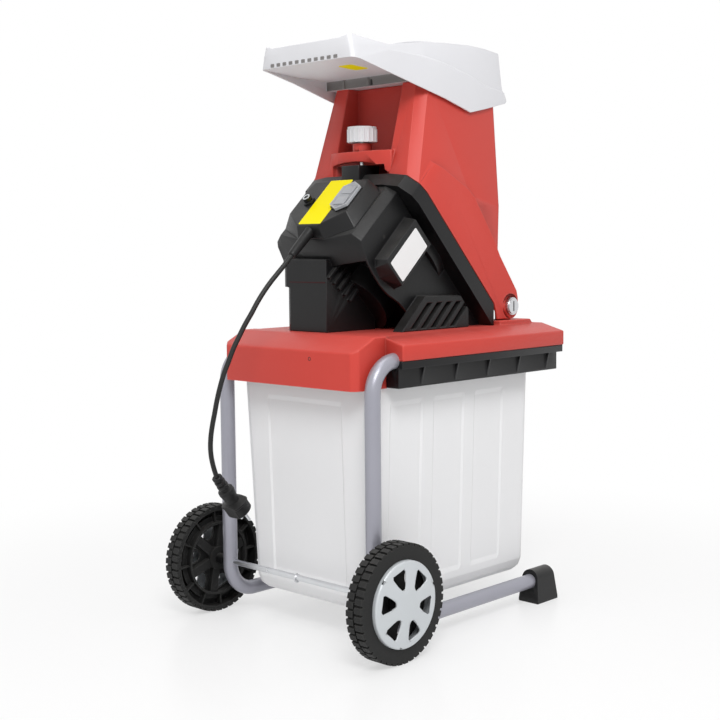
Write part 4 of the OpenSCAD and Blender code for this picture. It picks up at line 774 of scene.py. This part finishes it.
# %% Cord
CORD_ROUTE = [
    (0, -5.6, 620.4), (-1, -20, 606), (-3, -33, 593), (-6, -46, 579), (-9, -58, 564),
    (-12, -69, 548), (-15, -79, 531), (-19, -89, 514), (-23, -98, 496), (-27, -107, 477),
    (-31, -114, 457), (-35, -121, 437), (-39, -126, 416), (-42, -130, 396), (-45, -133, 375),
    (-48, -136, 354), (-51, -137, 334), (-54, -135, 314), (-56, -130, 294), (-58, -121, 271),
]
CORD_D = 0.008
cord_points = [at(*p) for p in CORD_ROUTE]
cord_curve = bpy.data.curves.new("mains_cord", "CURVE")
cord_curve.dimensions = "3D"
cord_curve.bevel_depth = CORD_D / 2
cord_curve.bevel_resolution = 4
cord_curve.use_fill_caps = True
spline = cord_curve.splines.new("BEZIER")
spline.bezier_points.add(len(cord_points) - 1)
for knot, place in zip(spline.bezier_points, cord_points):
    knot.co = place
    knot.handle_left_type = knot.handle_right_type = "AUTO"
spline.resolution_u = 6
cord_curve.materials.append(cord_rubber)
mains_cord = bpy.data.objects.new("mains_cord", cord_curve)
bpy.context.scene.collection.objects.link(mains_cord)
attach(mains_cord, "base")
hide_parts("cord")

# %% [markdown]
# ## Stage and light
# The machine stands on a pale floor in even studio light. Near the machine the floor takes its
# shadow, and far away it turns to plain white so that no horizon shows. The world is white where
# the camera or a reflection looks at it, and gentler where it lights the machine.

# %% Floor
FLOOR_HALF = 14
FADE_FROM, FADE_TO, FADE_LEAST = 0.35, 1.3, 0.55
floor_bm = bmesh.new()
bmesh.ops.create_grid(floor_bm, x_segments=8, y_segments=8, size=FLOOR_HALF)
floor_mesh = bpy.data.meshes.new("floor")
floor_bm.to_mesh(floor_mesh)
floor_bm.free()
floor = bpy.data.objects.new("floor", floor_mesh)
bpy.context.scene.collection.objects.link(floor)
print("floor", 2 * FLOOR_HALF, "m wide")

# %% Floor paper
floor_paper = bpy.data.materials.new("floor_paper")
floor_paper.use_nodes = True
tree = floor_paper.node_tree
paper = tree.nodes["Principled BSDF"]
paper.inputs["Base Color"].default_value = (0.9, 0.9, 0.9, 1)
paper.inputs["Roughness"].default_value = 0.3
paper.inputs["Specular IOR Level"].default_value = 0.25
white = tree.nodes.new("ShaderNodeEmission")
where = tree.nodes.new("ShaderNodeTexCoord")
reach = tree.nodes.new("ShaderNodeVectorMath")
reach.operation = "LENGTH"
tree.links.new(where.outputs["Object"], reach.inputs[0])
fade = tree.nodes.new("ShaderNodeMapRange")
fade.interpolation_type = "SMOOTHSTEP"
fade.inputs["From Min"].default_value = FADE_FROM
fade.inputs["From Max"].default_value = FADE_TO
fade.inputs["To Min"].default_value = FADE_LEAST
tree.links.new(reach.outputs["Value"], fade.inputs["Value"])
rays = tree.nodes.new("ShaderNodeLightPath")
seen = math_node(tree, "MAXIMUM", rays.outputs["Is Camera Ray"], rays.outputs["Is Glossy Ray"])
blend = tree.nodes.new("ShaderNodeMixShader")
tree.links.new(math_node(tree, "MULTIPLY", fade.outputs["Result"], seen), blend.inputs["Fac"])
tree.links.new(paper.outputs["BSDF"], blend.inputs[1])
tree.links.new(white.outputs["Emission"], blend.inputs[2])
tree.links.new(blend.outputs["Shader"], tree.nodes["Material Output"].inputs["Surface"])
floor_mesh.materials.append(floor_paper)

# %% World
WORLD_LIGHT, WORLD_SEEN = 0.56, 1.0
world = bpy.data.worlds.new("studio")
bpy.context.scene.world = world
world.use_nodes = True
sky_tree = world.node_tree
sky_tree.nodes.clear()
sky_out = sky_tree.nodes.new("ShaderNodeOutputWorld")
soft = sky_tree.nodes.new("ShaderNodeBackground")
soft.inputs["Strength"].default_value = WORLD_LIGHT
plain = sky_tree.nodes.new("ShaderNodeBackground")
plain.inputs["Strength"].default_value = WORLD_SEEN
for sheet in (soft, plain):
    sheet.inputs["Color"].default_value = (1, 1, 1, 1)
rays = sky_tree.nodes.new("ShaderNodeLightPath")
looked = math_node(sky_tree, "MAXIMUM", rays.outputs["Is Camera Ray"],
                   rays.outputs["Is Transmission Ray"])
looked = math_node(sky_tree, "MAXIMUM", looked, rays.outputs["Is Glossy Ray"])
pick = sky_tree.nodes.new("ShaderNodeMixShader")
sky_tree.links.new(looked, pick.inputs["Fac"])
sky_tree.links.new(soft.outputs["Background"], pick.inputs[1])
sky_tree.links.new(plain.outputs["Background"], pick.inputs[2])
sky_tree.links.new(pick.outputs["Shader"], sky_out.inputs["Surface"])
print("world light", WORLD_LIGHT)


# %% Lamps
def soft_box(name, place, target, size, power):
    light = bpy.data.lights.new(name, "AREA")
    light.shape = "DISK"
    light.size = size
    light.energy = power
    lamp = bpy.data.objects.new(name, light)
    direction = Vector(target) - Vector(place)
    turn = direction.to_track_quat("-Z", "Y").to_matrix().to_4x4()
    lamp.matrix_world = Matrix.Translation(place) @ turn
    bpy.context.scene.collection.objects.link(lamp)


MIDDLE = (0, 0, 0.5)
soft_box("key_box", (1.7, -1.55, 2.4), MIDDLE, size=1.2, power=50)
soft_box("top_box", (0.2, -0.2, 3.4), MIDDLE, size=1.6, power=16)
print("lamps", len(bpy.data.lights))
bpy.context.scene.view_settings.view_transform = "Standard"
